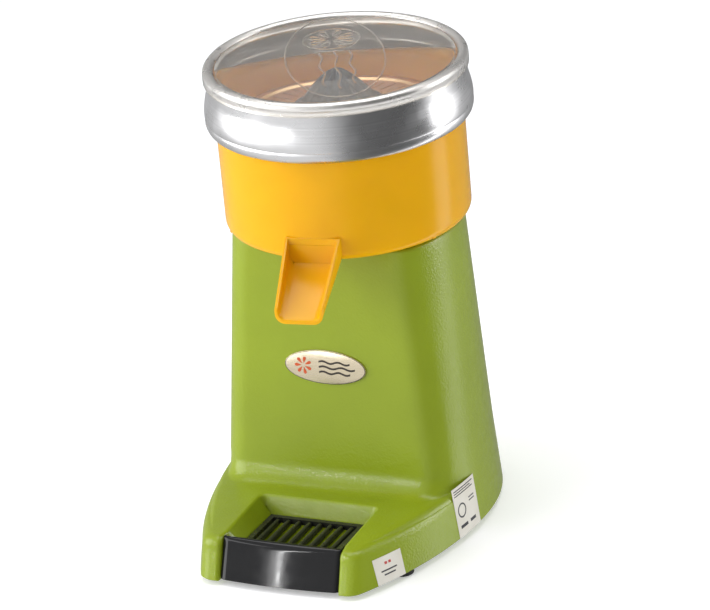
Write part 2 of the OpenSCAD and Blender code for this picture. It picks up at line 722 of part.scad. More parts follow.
lid_gap = 0.2;
lid_disc_drop = 1.5;
lid_disc_t = 2;
lid_r = bead_c + bead_w / 2 + lid_gap + lid_t;
lid_top = bead_top + lid_gap + lid_t;
emblem_l = 163;
emblem_w = 72;
emblem_turn = 118.8;
emblem_line = 1;
function lid_arc(extra) = [for (a = [180 : -20 : 0])
    [bead_c + (bead_w / 2 + lid_gap + extra) * cos(a),
        bead_top - bead_w / 2 + (bead_w / 2 + lid_gap + extra) * sin(a)]];
lid_disc_r = bead_c - bead_w / 2 - lid_gap;
lid_flat_r = lid_disc_r - lid_t - 0.2;
lid_disc_top = lid_top - lid_disc_drop;
module lid() {
    color("whitesmoke", 0.4) at_axis(z_rim) union() {
        translate([0, 0, lid_disc_top - lid_disc_t]) cylinder(r = lid_flat_r, h = lid_disc_t, $fn = 120);
        translate([0, 0, lid_disc_top - eps]) rotate([0, 0, emblem_turn])
            linear_extrude(0.4 + eps) difference() {
                polygon(oval(emblem_l, emblem_w));
                polygon(oval(emblem_l - 2 * emblem_line, emblem_w - 2 * emblem_line));
            }
    }
}
// The lid's rolled edge and skirt, which hook over the ring's bead
module lid_rim() {
    skirt_z = bead_top - lid_skirt;
    color("whitesmoke", 0.4) at_axis(z_rim)
        rotate_extrude($fn = 120) polygon(concat(
            [[lid_flat_r, lid_disc_top - lid_disc_t], [lid_flat_r, lid_disc_top]],
            lid_arc(lid_t),
            [[lid_r, skirt_z], [lid_r - lid_t, skirt_z]],
            reversed(lid_arc(0)),
            [[lid_disc_r, lid_disc_top - lid_disc_t]]));
}

module reamer() {
    ogive = [for (i = [0 : 8]) let (t = i / 8)
        [(reamer_r - 2.5) * pow(1 - t, 0.72), reamer_skirt_t + (reamer_h - 1.5) * t]];
    color("slategray") at_axis(reamer_skirt_z)
    difference() {
        union() {
            rotate_extrude() polygon(concat(
                [[0, 0], [reamer_skirt_r, 0], [reamer_skirt_r, 1], [reamer_r - 1, reamer_skirt_t]], ogive));
            for (i = [0 : reamer_ribs - 1]) rotate([0, 0, 360 * i / reamer_ribs])
                rotate([90, 0, 0]) translate([0, 0, -1])
                    linear_extrude(2) polygon(concat([[0, 1], [reamer_r, 1]],
                        [for (k = [0 : 8]) let (t = k / 8)
                            [reamer_r * pow(1 - t, 0.66), reamer_skirt_t + reamer_h * t]]));
            translate([0, 0, reamer_hub_z - reamer_skirt_z])
                cylinder(r = reamer_hub_r, h = reamer_skirt_z - reamer_hub_z + eps);
        }
        translate([0, 0, reamer_hub_z - reamer_skirt_z - 1])
            cylinder(r = shaft_r + run_gap, h = shaft_top_z - reamer_hub_z + 1);
        translate([-pin_l / 2 - pin_gap, -pin_r - pin_gap, reamer_hub_z - reamer_skirt_z - 1])
            cube([pin_l + 2 * pin_gap, 2 * (pin_r + pin_gap), pin_z + pin_r + pin_gap - reamer_hub_z + 1]);
    }
}

// ---- shaft and motor ------------------------------------------------------------------------

module drive_pin() {
    color("silver") at_axis(pin_z) rotate([0, 90, 0]) translate([0, 0, -pin_l / 2])
        cylinder(r = pin_r, h = pin_l);
}
module shaft_slinger() {
    color("black") at_axis(z_top + tower_h + 2) difference() {
        rotate_extrude() polygon([[0, 0], [tower_r - 2, 0], [tower_r - 2, 1], [shaft_r + 2, 4], [0, 4]]);
        translate([0, 0, -1]) cylinder(r = shaft_r, h = 6);
    }
}
module shaft_tower() {
    color("darkgray") at_axis(z_top - top_t) difference() {
        tube(tower_r, shaft_hole_r, top_t + tower_h);
        translate([0, 0, top_t + tower_h - seal_h]) cylinder(r = seal_r, h = seal_h + 1);
    }
}
module shaft_seal() {
    color("saddlebrown") at_axis(z_top + tower_h - seal_h) tube(seal_r, shaft_r + run_gap, seal_h);
}
module motor_shaft() {
    color("silver") at_axis(shaft_z) difference() {
        cylinder(r = shaft_r, h = shaft_top_z - shaft_z);
        translate([0, 0, pin_z - shaft_z]) rotate([0, 90, 0]) translate([0, 0, -shaft_r - 1])
            cylinder(r = pin_r, h = 2 * shaft_r + 2);
    }
}
module rotor() {
    color("gray") at_axis(core_z + 1) tube(rotor_r, shaft_r, stator_h - 2);
}
module cooling_fan() {
    fan_r = stator_r - 8;
    color("dimgray") at_axis(fan_top_z - fan_h) difference() {
        union() {
            cylinder(r = 11, h = fan_h);
            cylinder(r = fan_r, h = 2);
            for (i = [0 : 8]) rotate([0, 0, 40 * i]) translate([9, -1, 1]) cube([fan_r - 11, 2, fan_h - 1]);
        }
        translate([0, 0, -1]) cylinder(r = shaft_r, h = fan_h + 2);
    }
}
module bearing(z) {
    color("silver") at_axis(z) difference() {
        tube(bearing_r, shaft_r + run_gap, bearing_w);
        for (z_cut = [-1, bearing_w - 0.8]) translate([0, 0, z_cut])
            tube(bearing_r - 2.4, shaft_r + 2.4, 1.8);
    }
}
module upper_bearing() { bearing(bearing_up_z); }
module lower_bearing() { bearing(bearing_low_z); }
module upper_bracket() {
    color("darkgray") difference() {
        at_axis() union() {
            translate([0, 0, core_top_z]) tube(stator_r, stator_r - cup_t, bracket_top_z - core_top_z);
            translate([0, 0, bracket_top_z - bracket_plate_t]) cylinder(r = stator_r, h = bracket_plate_t);
            translate([0, 0, bracket_top_z - hub_h]) cylinder(r = hub_r, h = hub_h);
        }
        at_axis(bracket_top_z - hub_h - 1) cylinder(r = shaft_hole_r, h = hub_h + 2);
        at_axis(bearing_up_z - 1) cylinder(r = bearing_r, h = bearing_w + 1);
        around_axis(4, bolt_place_r) translate([0, 0, core_top_z]) cylinder(r = bolt_r, h = 29);
        around_axis(4, mount_screw_place_r, 45)
            translate([0, 0, bracket_top_z - bracket_plate_t - 1]) cylinder(r = mount_screw_r, h = 9);
    }
}
module lower_bracket() {
    color("darkgray") difference() {
        at_axis() union() {
            translate([0, 0, low_plate_z]) tube(stator_r, stator_r - cup_t, core_z - low_plate_z);
            translate([0, 0, low_plate_z]) cylinder(r = stator_r, h = bracket_plate_t);
            translate([0, 0, low_plate_z]) cylinder(r = hub_r, h = hub_h);
        }
        at_axis(low_plate_z - 1) cylinder(r = shaft_hole_r, h = hub_h + 2);
        at_axis(bearing_low_z) cylinder(r = bearing_r, h = bearing_w + 1);
        around_axis(4, bolt_place_r) translate([0, 0, low_plate_z - 1]) cylinder(r = bolt_r + 0.2, h = 40);
        around_axis(6, 32, 30) translate([0, 0, low_plate_z - 1]) cylinder(r = 5, h = bracket_plate_t + 2);
    }
}
module stator_core() {
    color("slategray") difference() {
        at_axis(core_z) tube(stator_r, core_bore_r, stator_h);
        around_axis(4, bolt_place_r) translate([0, 0, core_z - 1]) cylinder(r = bolt_r + 0.2, h = stator_h + 2);
    }
}
module stator_windings() {
    color("peru") for (z = [core_z - winding_h, core_top_z]) at_axis(z)
        tube(winding_r, winding_in_r, winding_h);
}
module motor_bolts() {
    color("silver") around_axis(4, bolt_place_r) {
        translate([0, 0, low_plate_z - bolt_head_h]) cylinder(r = 4, h = bolt_head_h);
        translate([0, 0, low_plate_z - eps]) cylinder(r = bolt_r, h = core_top_z + 28 - low_plate_z);
    }
}
module motor_screws() {
    color("silver") around_axis(4, mount_screw_place_r, 45) difference() {
        union() {
            translate([0, 0, z_top - mount_head_h - 0.3]) cylinder(r = mount_head_r, h = mount_head_h);
            translate([0, 0, bracket_top_z - bracket_plate_t + 0.5])
                cylinder(r = mount_screw_r, h = bracket_plate_t + top_t - mount_head_h - 0.5);
        }
        translate([-3, -0.5, z_top - 1.5]) cube([6, 1, 3]);
    }
}

// ---- electrical parts -----------------------------------------------------------------------

module switch_bezel() {
    color([0.1, 0.1, 0.1]) translate([0, axis_y + switch_flat_y, switch_z])
    difference() {
        union() {
            translate([-switch_w / 2, 0, -switch_h / 2]) cube([switch_w, switch_bezel_t, switch_h]);
            translate([-switch_body_w / 2 + 0.2, -switch_body_l, -switch_body_h / 2 + 0.2])
                cube([switch_body_w - 0.4, switch_body_l + eps, switch_body_h - 0.4]);
        }
        translate([-rocker_w / 2 - rocker_gap, -switch_body_l + 2, -rocker_h / 2 - rocker_gap])
            cube([rocker_w + 2 * rocker_gap, switch_body_l + 10, rocker_h + 2 * rocker_gap]);
    }
}
module switch_rocker() {
    // Two faces that meet at the pivot's height, drawn at the off position
    color([0.75, 0.1, 0.08]) translate([0, axis_y + rocker_pivot_y, switch_z])
    rotate([rocker_swing, 0, 0]) difference() {
        intersection() {
            rotate([0, 90, 0]) translate([0, 0, -rocker_w / 2])
                cylinder(r = rocker_h / 2 - 0.2, h = rocker_w);
            translate([-rocker_w, -9, -rocker_h]) cube([2 * rocker_w, 30, 2 * rocker_h]);
        }
        rotate([-rocker_swing, 0, 0]) translate([-rocker_w, 4.6, 0]) cube([2 * rocker_w, 10, 20]);
        rotate([rocker_swing, 0, 0]) translate([-rocker_w, 4.6, -20]) cube([2 * rocker_w, 10, 20]);
    }
}

cap_r = 17;
cap_h = 52;
cap_x = -52;
cap_y = axis_y + 20;
cap_z = boss_z + 0.5;
module capacitor() {
    color("whitesmoke") translate([cap_x, cap_y, cap_z - 0.5]) {
        cylinder(r = cap_r, h = cap_h);
        for (s = [-1, 1]) translate([s * 6 - 3, -0.4, cap_h - eps]) cube([6, 0.8, 8]);
    }
}
strap_h = 10;
strap_t = 1;
strap_foot = 12;
cap_screw_y = cap_r + 7;
cap_screw_r = 1.6;
module capacitor_strap() {
    color("silver") difference() {
        union() {
            translate([cap_x, cap_y, boss_z + 14]) tube(cap_r + strap_t, cap_r, strap_h);
            for (s = [-1, 1]) translate([cap_x - 5, cap_y + s * (cap_r + strap_t / 2) - strap_t / 2, boss_z])
                cube([10, strap_t, 15]);
            for (s = [-1, 1]) translate([cap_x - 5,
                cap_y + (s > 0 ? cap_r : -cap_r - strap_t - strap_foot + 1), boss_z])
                cube([10, strap_foot + strap_t - 1, strap_t]);
        }
        for (s = [-1, 1]) translate([cap_x, cap_y + s * cap_screw_y, 0]) cylinder(r = cap_screw_r + 0.1, h = 40);
    }
}
module strap_screws() {
    color("silver") for (s = [-1, 1]) translate([cap_x, cap_y + s * cap_screw_y, boss_z + strap_t]) {
        cylinder(r = 3, h = 2);
        translate([0, 0, -strap_t - plate_t]) cylinder(r = cap_screw_r, h = strap_t + plate_t + eps);
    }
}
block_l = 34;
block_w = 18;
block_h = 14;
module terminal_block() {
    color("ivory") translate([30, axis_y + 20, boss_z]) difference() {
        cube([block_w, block_l, block_h]);
        for (i = [0 : 2]) translate([-1, 3 + i * 10.5, 5]) cube([block_w + 2, 6, 5]);
        for (i = [0 : 2]) translate([block_w / 2, 6 + i * 10.5, 8]) cylinder(r = 2, h = 10);
    }
}
module earth_screw() {
    color("gold") translate([earth_place[0], earth_place[1], boss_z + boss_h]) {
        cylinder(r = earth_head_r, h = earth_head_h);
        translate([0, 0, -8]) cylinder(r = 1.6, h = 8 + eps);
    }
}
module cable_gland() {
    color([0.12, 0.12, 0.12]) translate([0, axis_y + gland_flat_y, gland_z]) rotate([-90, 0, 0])
    difference() {
        union() {
            cylinder(r = gland_hex_r, h = 5, $fn = 6);
            translate([0, 0, 5 - eps]) cylinder(r = gland_hex_r - 1.2, h = gland_end_y - gland_flat_y - 5 + eps);
            translate([0, 0, -pad_depth - 6]) cylinder(r = gland_thread_r, h = pad_depth + 6 + eps);
        }
        translate([0, 0, -pad_depth - 7]) cylinder(r = gland_bore_r, h = 60);
    }
}
module gland_nut() {
    color([0.12, 0.12, 0.12]) translate([0, axis_y + gland_flat_y - pad_depth - 4, gland_z])
        rotate([-90, 0, 0]) difference() {
            cylinder(r = gland_hex_r + 1.5, h = 4, $fn = 6);
            translate([0, 0, -1]) cylinder(r = gland_thread_r, h = 6);
        }
}

housing();
base_plate();
base_screws();
feet();
foot_screws();
badge();
rating_label();
front_label();
drip_tray();
drip_grid();
bowl();
strainer();
splash_ring();
lid();
lid_rim();
reamer();
drive_pin();
shaft_slinger();
shaft_seal();
shaft_tower();
motor_shaft();
rotor();
cooling_fan();
upper_bearing();
lower_bearing();
upper_bracket();
lower_bracket();
stator_core();
stator_windings();
motor_bolts();
motor_screws();
switch_bezel();
switch_rocker();
capacitor();
capacitor_strap();
strap_screws();
terminal_block();
earth_screw();
cable_gland();
gland_nut();
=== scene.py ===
"""Looks of the bench-top citrus press juicer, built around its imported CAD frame.

Lengths are in millimetres until a mesh is made, and every piece stands in the frame's own axes:
the shaft stands at (0, AXIS_Y), the spout and the drip tray face -Y, and the feet rest on Z = 0.
"""
import json
import math

import bmesh
import bpy
from mathutils import Matrix, Vector

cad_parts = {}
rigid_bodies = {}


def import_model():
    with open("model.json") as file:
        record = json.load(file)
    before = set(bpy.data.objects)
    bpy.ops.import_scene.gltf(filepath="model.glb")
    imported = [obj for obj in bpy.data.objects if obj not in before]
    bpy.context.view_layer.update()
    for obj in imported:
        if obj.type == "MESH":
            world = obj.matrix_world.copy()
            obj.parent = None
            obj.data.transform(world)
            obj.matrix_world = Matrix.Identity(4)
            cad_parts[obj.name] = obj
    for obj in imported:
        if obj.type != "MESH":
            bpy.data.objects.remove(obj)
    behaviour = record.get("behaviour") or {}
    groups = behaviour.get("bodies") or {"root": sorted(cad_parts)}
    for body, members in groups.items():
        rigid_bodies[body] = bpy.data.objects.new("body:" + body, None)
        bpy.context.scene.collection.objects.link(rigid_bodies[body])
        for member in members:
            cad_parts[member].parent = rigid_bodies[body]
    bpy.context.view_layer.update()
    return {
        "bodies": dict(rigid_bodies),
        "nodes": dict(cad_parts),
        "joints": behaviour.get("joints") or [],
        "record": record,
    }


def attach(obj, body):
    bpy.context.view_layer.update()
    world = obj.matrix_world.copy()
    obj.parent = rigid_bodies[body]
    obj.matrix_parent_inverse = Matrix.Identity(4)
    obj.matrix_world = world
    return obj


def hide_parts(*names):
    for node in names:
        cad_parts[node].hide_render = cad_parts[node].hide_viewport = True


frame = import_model()
MM = 0.001

# Sizes shared with the CAD frame
AXIS_Y = 29.0
HOUSING_H = 222.5
BASE_W, BASE_FRONT, BASE_REAR, BASE_FRONT_W = 199.0, 172.0, 108.0, 132.0
COLUMN_W, FACE_TOP_W, FACE_LOW_W = 169.0, 154.0, 182.0
FACE_TOP_Y, FACE_LOW_Y = 55.0, 66.0
COLUMN_CORNER, FOOT_CORNER, COVE_R = 22.0, 12.0, 16.0
DECK_BACK_H, DECK_FALL, EDGE_R, FRONT_SLOPE = 34.5, 4.0, 8.0, 0.35
WALL, TOP_T, FOOT_H, FOOT_R = 4.0, 6.0, 3.5, 8.5
TRAY_FRONT_W, TRAY_W, TRAY_L, TRAY_FRONT_H, TRAY_BOX_H = 94.0, 76.0, 58.0, 29.0, 18.0
TRAY_T, TRAY_BULGE, TRAY_GAP, FRONT_LEAN = 2.0, 2.5, 0.6, 0.4
BOWL_R, BOWL_DRAFT, BOWL_H, BOWL_T, BOWL_FILLET, BOWL_FLOOR = 90.8, 0.6, 117.0, 2.5, 8.0, 3.0
SPOUT_W, SPOUT_TIP_W, SPOUT_L, SPOUT_DROP = 41.4, 36.0, 47.0, 28.0
SPOUT_DEPTH, SPOUT_TIP_DEPTH, SPOUT_TURN = 11.0, 7.5, 8.5
RING_T, BEAD_H = 1.2, 5.6
LID_T, LID_SKIRT = 1.2, 8.6
PAPER_OUT, PRINT_OUT = (0.04, 0.26), (0.25, 0.30)
REAMER_R, REAMER_H, REAMER_RIBS = 34.0, 52.5, 12

Z_BASE = FOOT_H
Z_DECK = Z_BASE + DECK_BACK_H
Z_TOP = Z_BASE + HOUSING_H
Z_RIM = Z_TOP + BOWL_H
Z_COVE = Z_DECK + COVE_R
PANEL_BACK = -BASE_FRONT + 17
TRAY_BACK = PANEL_BACK + TRAY_L
TRAY_Z = Z_BASE + 2.5 + TRAY_GAP
GRID_TOP = TRAY_Z + TRAY_BOX_H


# ---- camera, lights and floor ------------------------------------------------------------------

def turned(axis, angle):
    return Matrix.Rotation(math.radians(angle), 3, axis)


def stand_camera():
    """Camera at the viewing angle, a long lens four metres off, slightly rolled."""
    elevation, azimuth, tilt, pan, roll = 22.11, 26.6, -0.604, 0.027, -5.334
    distance, lens = 4.365, 302.35
    e, a = math.radians(elevation), math.radians(azimuth)
    back = Vector((math.sin(a) * math.cos(e), -math.cos(a) * math.cos(e), math.sin(e)))
    side = Vector((math.cos(a), math.sin(a), 0))
    level = Matrix((side, back.cross(side), back))
    rows = turned("Z", -roll) @ turned("X", -tilt) @ turned("Y", -pan) @ level
    data = bpy.data.cameras.new("viewing_camera")
    data.sensor_width, data.lens = 36.0, lens
    data.clip_start, data.clip_end = 0.1, 60.0
    camera = bpy.data.objects.new("viewing_camera", data)
    bpy.context.scene.collection.objects.link(camera)
    place = Vector((0, AXIS_Y * MM, 0.2045)) + back * distance
    camera.matrix_world = Matrix.Translation(place) @ rows.transposed().to_4x4()
    bpy.context.scene.camera = camera


def soft_light(name, place, aim, width, height, watts, colour=(1, 1, 1)):
    data = bpy.data.lights.new(name, "AREA")
    data.shape, data.size, data.size_y = "RECTANGLE", width, height
    data.energy, data.color = watts, colour
    light = bpy.data.objects.new(name, data)
    bpy.context.scene.collection.objects.link(light)
    light.location = place
    light.rotation_euler = (Vector(aim) - Vector(place)).to_track_quat("-Z", "Y").to_euler()


# What polished surfaces see round the stand: degrees from the front, and brightness
ROOM = ((-180, 0.25), (-105, 0.55), (-70, 0.8), (-35, 0.85), (0, 0.9), (14, 0.7), (34, 0.14),
        (96, 0.10), (112, 0.3), (120, 2.2), (131, 2.2), (140, 0.5), (180, 0.25))


def reflected_room(tree):
    """White cards on the left, a dark flag on the right front and a slit of light behind it."""
    aim = tree.nodes.new("ShaderNodeTexCoord")
    parts = tree.nodes.new("ShaderNodeSeparateXYZ")
    tree.links.new(aim.outputs["Generated"], parts.inputs["Vector"])
    front = tree.nodes.new("ShaderNodeMath")
    front.operation = "MULTIPLY"
    front.inputs[1].default_value = -1
    tree.links.new(parts.outputs["Y"], front.inputs[0])
    angle = tree.nodes.new("ShaderNodeMath")
    angle.operation = "ARCTAN2"
    tree.links.new(parts.outputs["X"], angle.inputs[0])
    tree.links.new(front.outputs["Value"], angle.inputs[1])
    share_round = tree.nodes.new("ShaderNodeMapRange")
    share_round.inputs["From Min"].default_value = -math.pi
    share_round.inputs["From Max"].default_value = math.pi
    tree.links.new(angle.outputs["Value"], share_round.inputs["Value"])
    ramp = tree.nodes.new("ShaderNodeValToRGB")
    stops = ramp.color_ramp.elements
    while len(stops) < len(ROOM):
        stops.new(0.5)
    for stop, (degrees, bright) in zip(stops, ROOM):
        stop.position = (degrees + 180) / 360
        stop.color = (bright, bright, bright, 1)
    tree.links.new(share_round.outputs["Result"], ramp.inputs["Fac"])
    room = tree.nodes.new("ShaderNodeBackground")
    tree.links.new(ramp.outputs["Color"], room.inputs["Color"])
    return room.outputs["Background"]


def light_studio():
    """Soft lamps round the object, a white backdrop, and the pale room that gloss mirrors."""
    middle, tray_front = (0, 0, 0.2), (0, -0.143, 0.02)
    soft_light("left_softbox", (-1.35, -0.75, 0.7), middle, 1.3, 1.5, 22)
    soft_light("right_strip", (1.45, 0.75, 0.5), middle, 0.3, 1.3, 7)
    soft_light("top_softbox", (-0.1, 0.2, 1.7), middle, 1.3, 1.3, 15)
    soft_light("front_strip", (-0.84, -1.80, 0.76), tray_front, 0.09, 1.1, 1.8)
    soft_light("front_slit", (-0.81, -1.82, 0.76), tray_front, 0.02, 1.1, 4.0)
    world = bpy.data.worlds.new("pale_room")
    world.use_nodes = True
    tree = world.node_tree
    sky, out = tree.nodes["Background"], tree.nodes["World Output"]
    sky.inputs["Color"].default_value = (0.93, 0.95, 1, 1)
    sky.inputs["Strength"].default_value = 0.42
    backdrop, path = tree.nodes.new("ShaderNodeBackground"), tree.nodes.new("ShaderNodeLightPath")
    backdrop.inputs["Strength"].default_value = 1.0
    choose = tree.nodes.new("ShaderNodeMixShader")
    tree.links.new(path.outputs["Is Camera Ray"], choose.inputs[0])
    flags = tree.nodes.new("ShaderNodeMixShader")
    tree.links.new(path.outputs["Is Glossy Ray"], flags.inputs[0])
    tree.links.new(sky.outputs["Background"], flags.inputs[1])
    tree.links.new(reflected_room(tree), flags.inputs[2])
    tree.links.new(flags.outputs["Shader"], choose.inputs[1])
    tree.links.new(backdrop.outputs["Background"], choose.inputs[2])
    tree.links.new(choose.outputs["Shader"], out.inputs["Surface"])
    scene = bpy.context.scene
    scene.world = world
    scene.view_settings.view_transform = "Standard"


def lay_floor():
    """Plain pale floor, far wider than the view."""
    f = Finish("pale_floor", (0.88, 0.88, 0.88), 0.8, Emission_Color=(1, 1, 1, 1),
               Emission_Strength=0.32)
    f.vary_colour(f.noise(3, 2), (0.87, 0.87, 0.87), (0.89, 0.89, 0.89))
    half = 3000
    corners = [(-half, -half, 0), (half, -half, 0), (half, half, 0), (-half, half, 0)]
    floor = mesh_piece("studio_floor", corners, [(0, 1, 2, 3)], f.material, outward=False)
    floor.visible_glossy = False


# ---- materials ---------------------------------------------------------------------------------

class Finish:
    """A procedural material on one Principled shader, with patterns on Object coordinates."""

    def __init__(self, name, colour, roughness, metallic=0.0, **sockets):
        self.material = bpy.data.materials.new(name)
        self.material.use_nodes = True
        self.tree = self.material.node_tree
        self.shader = self.tree.nodes["Principled BSDF"]
        self.set("Base Color", (*colour, 1))
        self.set("Roughness", roughness)
        self.set("Metallic", metallic)
        for key, value in sockets.items():
            self.set(key.replace("_", " "), value)
        self.colour, self.roughness = colour, roughness
        place = self.add("ShaderNodeTexCoord").outputs["Object"]
        centre = self.add("ShaderNodeMapping")
        centre.inputs["Location"].default_value = (0, -AXIS_Y * MM, 0)
        self.join(place, centre.inputs["Vector"])
        self.place = centre.outputs["Vector"]

    def set(self, socket, value):
        self.shader.inputs[socket].default_value = value

    def add(self, kind, **settings):
        node = self.tree.nodes.new(kind)
        for key, value in settings.items():
            setattr(node, key, value)
        return node

    def join(self, source, target):
        self.tree.links.new(source, target)

    def noise(self, scale, detail=2.0, roughness=0.5, stretch=None, distortion=0.0):
        node = self.add("ShaderNodeTexNoise")
        for key, value in (("Scale", scale), ("Detail", detail), ("Roughness", roughness),
                           ("Distortion", distortion)):
            node.inputs[key].default_value = value
        place = self.place
        if stretch:
            mapping = self.add("ShaderNodeMapping")
            mapping.inputs["Scale"].default_value = stretch
            self.join(place, mapping.inputs["Vector"])
            place = mapping.outputs["Vector"]
        self.join(place, node.inputs["Vector"])
        return node.outputs["Fac"]

    def cells(self, scale, smooth=0.6):
        node = self.add("ShaderNodeTexVoronoi", feature="SMOOTH_F1")
        node.inputs["Scale"].default_value = scale
        node.inputs["Smoothness"].default_value = smooth
        self.join(self.place, node.inputs["Vector"])
        return node.outputs["Distance"]

    def turning_marks(self, scale):
        """Fine rings round the shaft, as left by spinning or turning."""
        parts = self.add("ShaderNodeSeparateXYZ")
        self.join(self.place, parts.inputs["Vector"])
        radius = self.math("SQRT", self.math("ADD", self.math("POWER", parts.outputs["X"], 2),
                                             self.math("POWER", parts.outputs["Y"], 2)))
        along = self.math("ADD", radius, parts.outputs["Z"])
        node = self.add("ShaderNodeTexNoise", noise_dimensions="1D")
        node.inputs["Scale"].default_value = scale
        node.inputs["Detail"].default_value = 4
        self.join(along, node.inputs["W"])
        return node.outputs["Fac"]

    def math(self, operation, first, second=None):
        node = self.add("ShaderNodeMath", operation=operation)
        for socket, value in zip(node.inputs, (first, second)):
            if value is None:
                continue
            if isinstance(value, (int, float)):
                socket.default_value = value
            else:
                self.join(value, socket)
        return node.outputs["Value"]

    def between(self, fac, low, high, from_low=0.3, from_high=0.7):
        node = self.add("ShaderNodeMapRange")
        for key, value in (("From Min", from_low), ("From Max", from_high), ("To Min", low),
                           ("To Max", high)):
            node.inputs[key].default_value = value
        self.join(fac, node.inputs["Value"])
        return node.outputs["Result"]

    def vary_roughness(self, fac, spread):
        low, high = max(0.01, self.roughness - spread), self.roughness + spread
        self.join(self.between(fac, low, high), self.shader.inputs["Roughness"])
        return self

    def vary_colour(self, fac, dark, light=None, from_low=0.3, from_high=0.7):
        node = self.add("ShaderNodeValToRGB")
        node.color_ramp.elements[0].position = from_low
        node.color_ramp.elements[1].position = from_high
        node.color_ramp.elements[0].color = (*dark, 1)
        node.color_ramp.elements[1].color = (*(light or self.colour), 1)
        self.join(fac, node.inputs["Fac"])
        self.join(node.outputs["Color"], self.shader.inputs["Base Color"])
        return self

    def bump(self, height, strength, depth_mm, coat=False):
        node = self.add("ShaderNodeBump")
        node.inputs["Strength"].default_value = strength
        node.inputs["Distance"].default_value = depth_mm * MM
        self.join(height, node.inputs["Height"])
        self.join(node.outputs["Normal"], self.shader.inputs["Normal"])
        if coat:
            self.join(node.outputs["Normal"], self.shader.inputs["Coat Normal"])
        return self


def shade(colour, factor):
    return tuple(min(1.0, c * factor) for c in colour)


def hammered_green_paint():
    f = Finish("hammered_green_paint", (0.265, 0.345, 0.010), 0.38, Coat_Weight=0.55,
               Coat_Roughness=0.05, Specular_IOR_Level=0.2)
    f.vary_colour(f.noise(14, 2), shade(f.colour, 0.95), shade(f.colour, 1.04))
    f.vary_roughness(f.noise(150, 2), 0.07)
    peel = f.math("ADD", f.math("MULTIPLY", f.cells(520), 0.8), f.noise(760, 3))
    return f.bump(peel, 0.5, 0.3, coat=True).material


def bowl_yellow_gloss():
    f = Finish("bowl_yellow_gloss", (0.84, 0.42, 0.003), 0.16, Coat_Weight=0.12,
               Coat_Roughness=0.06, Subsurface_Weight=0.12, Subsurface_Scale=0.004,
               Specular_IOR_Level=0.2)
    f.vary_colour(f.noise(18, 2), shade(f.colour, 0.95), shade(f.colour, 1.03))
    f.vary_roughness(f.noise(90, 4), 0.05)
    return f.bump(f.noise(26, 2), 0.10, 0.6).material


def spun_metal(name, colour, roughness, scale=900, strength=0.06):
    f = Finish(name, colour, roughness, 1.0)
    marks = f.turning_marks(scale)
    f.vary_roughness(f.noise(60, 3), 0.06)
    f.vary_colour(marks, shade(colour, 0.90), colour)
    return f.bump(marks, strength, 0.08).material


def clear_lid_plastic():
    f = Finish("clear_lid_plastic", (1.0, 0.97, 0.92), 0.05, IOR=1.30,
               Transmission_Weight=0.93)
    f.vary_roughness(f.noise(45, 4), 0.03)
    return f.bump(f.noise(24, 2), 0.05, 0.4).material


def moulded(name, colour, roughness, grain=600, strength=0.15, spread=0.08, **sockets):
    f = Finish(name, colour, roughness, **sockets)
    f.vary_colour(f.noise(40, 3), shade(colour, 0.86), shade(colour, 1.05))
    f.vary_roughness(f.noise(110, 4), spread)
    return f.bump(f.noise(grain, 3), strength, 0.12).material


def brushed(name, colour, roughness, stretch=(12, 500, 500), strength=0.18):
    f = Finish(name, colour, roughness, 1.0)
    lines = f.noise(2.2, 5, 0.6, stretch)
    f.vary_colour(lines, shade(colour, 0.90), shade(colour, 1.03))
    f.vary_roughness(lines, 0.06)
    return f.bump(lines, strength, 0.06).material


def cast_metal(name, colour, roughness):
    f = Finish(name, colour, roughness, 1.0)
    f.vary_colour(f.noise(70, 5), shade(colour, 0.78), colour)
    f.vary_roughness(f.noise(160, 4), 0.12)
    return f.bump(f.noise(480, 4), 0.4, 0.3).material


def laminated_steel():
    f = Finish("laminated_core_steel", (0.20, 0.21, 0.23), 0.42, 1.0)
    sheets = f.noise(1.0, 1, 0.5, (3, 3, 2000))
    f.vary_colour(sheets, (0.10, 0.10, 0.11), (0.26, 0.27, 0.29))
    return f.bump(sheets, 0.5, 0.2).material


def wound_copper():
    f = Finish("varnished_copper_winding", (0.55, 0.21, 0.07), 0.32, 0.9)
    wires = f.noise(1.0, 1, 0.5, (400, 400, 900))
    f.vary_colour(wires, (0.28, 0.09, 0.03), (0.62, 0.25, 0.09))
    return f.bump(wires, 0.8, 0.5).material


def printed_paper():
    f = Finish("cream_label_paper", (0.78, 0.74, 0.66), 0.5)
    f.vary_colour(f.noise(60, 4), (0.73, 0.69, 0.60), (0.80, 0.77, 0.69))
    return f.bump(f.noise(900, 3), 0.12, 0.05).material


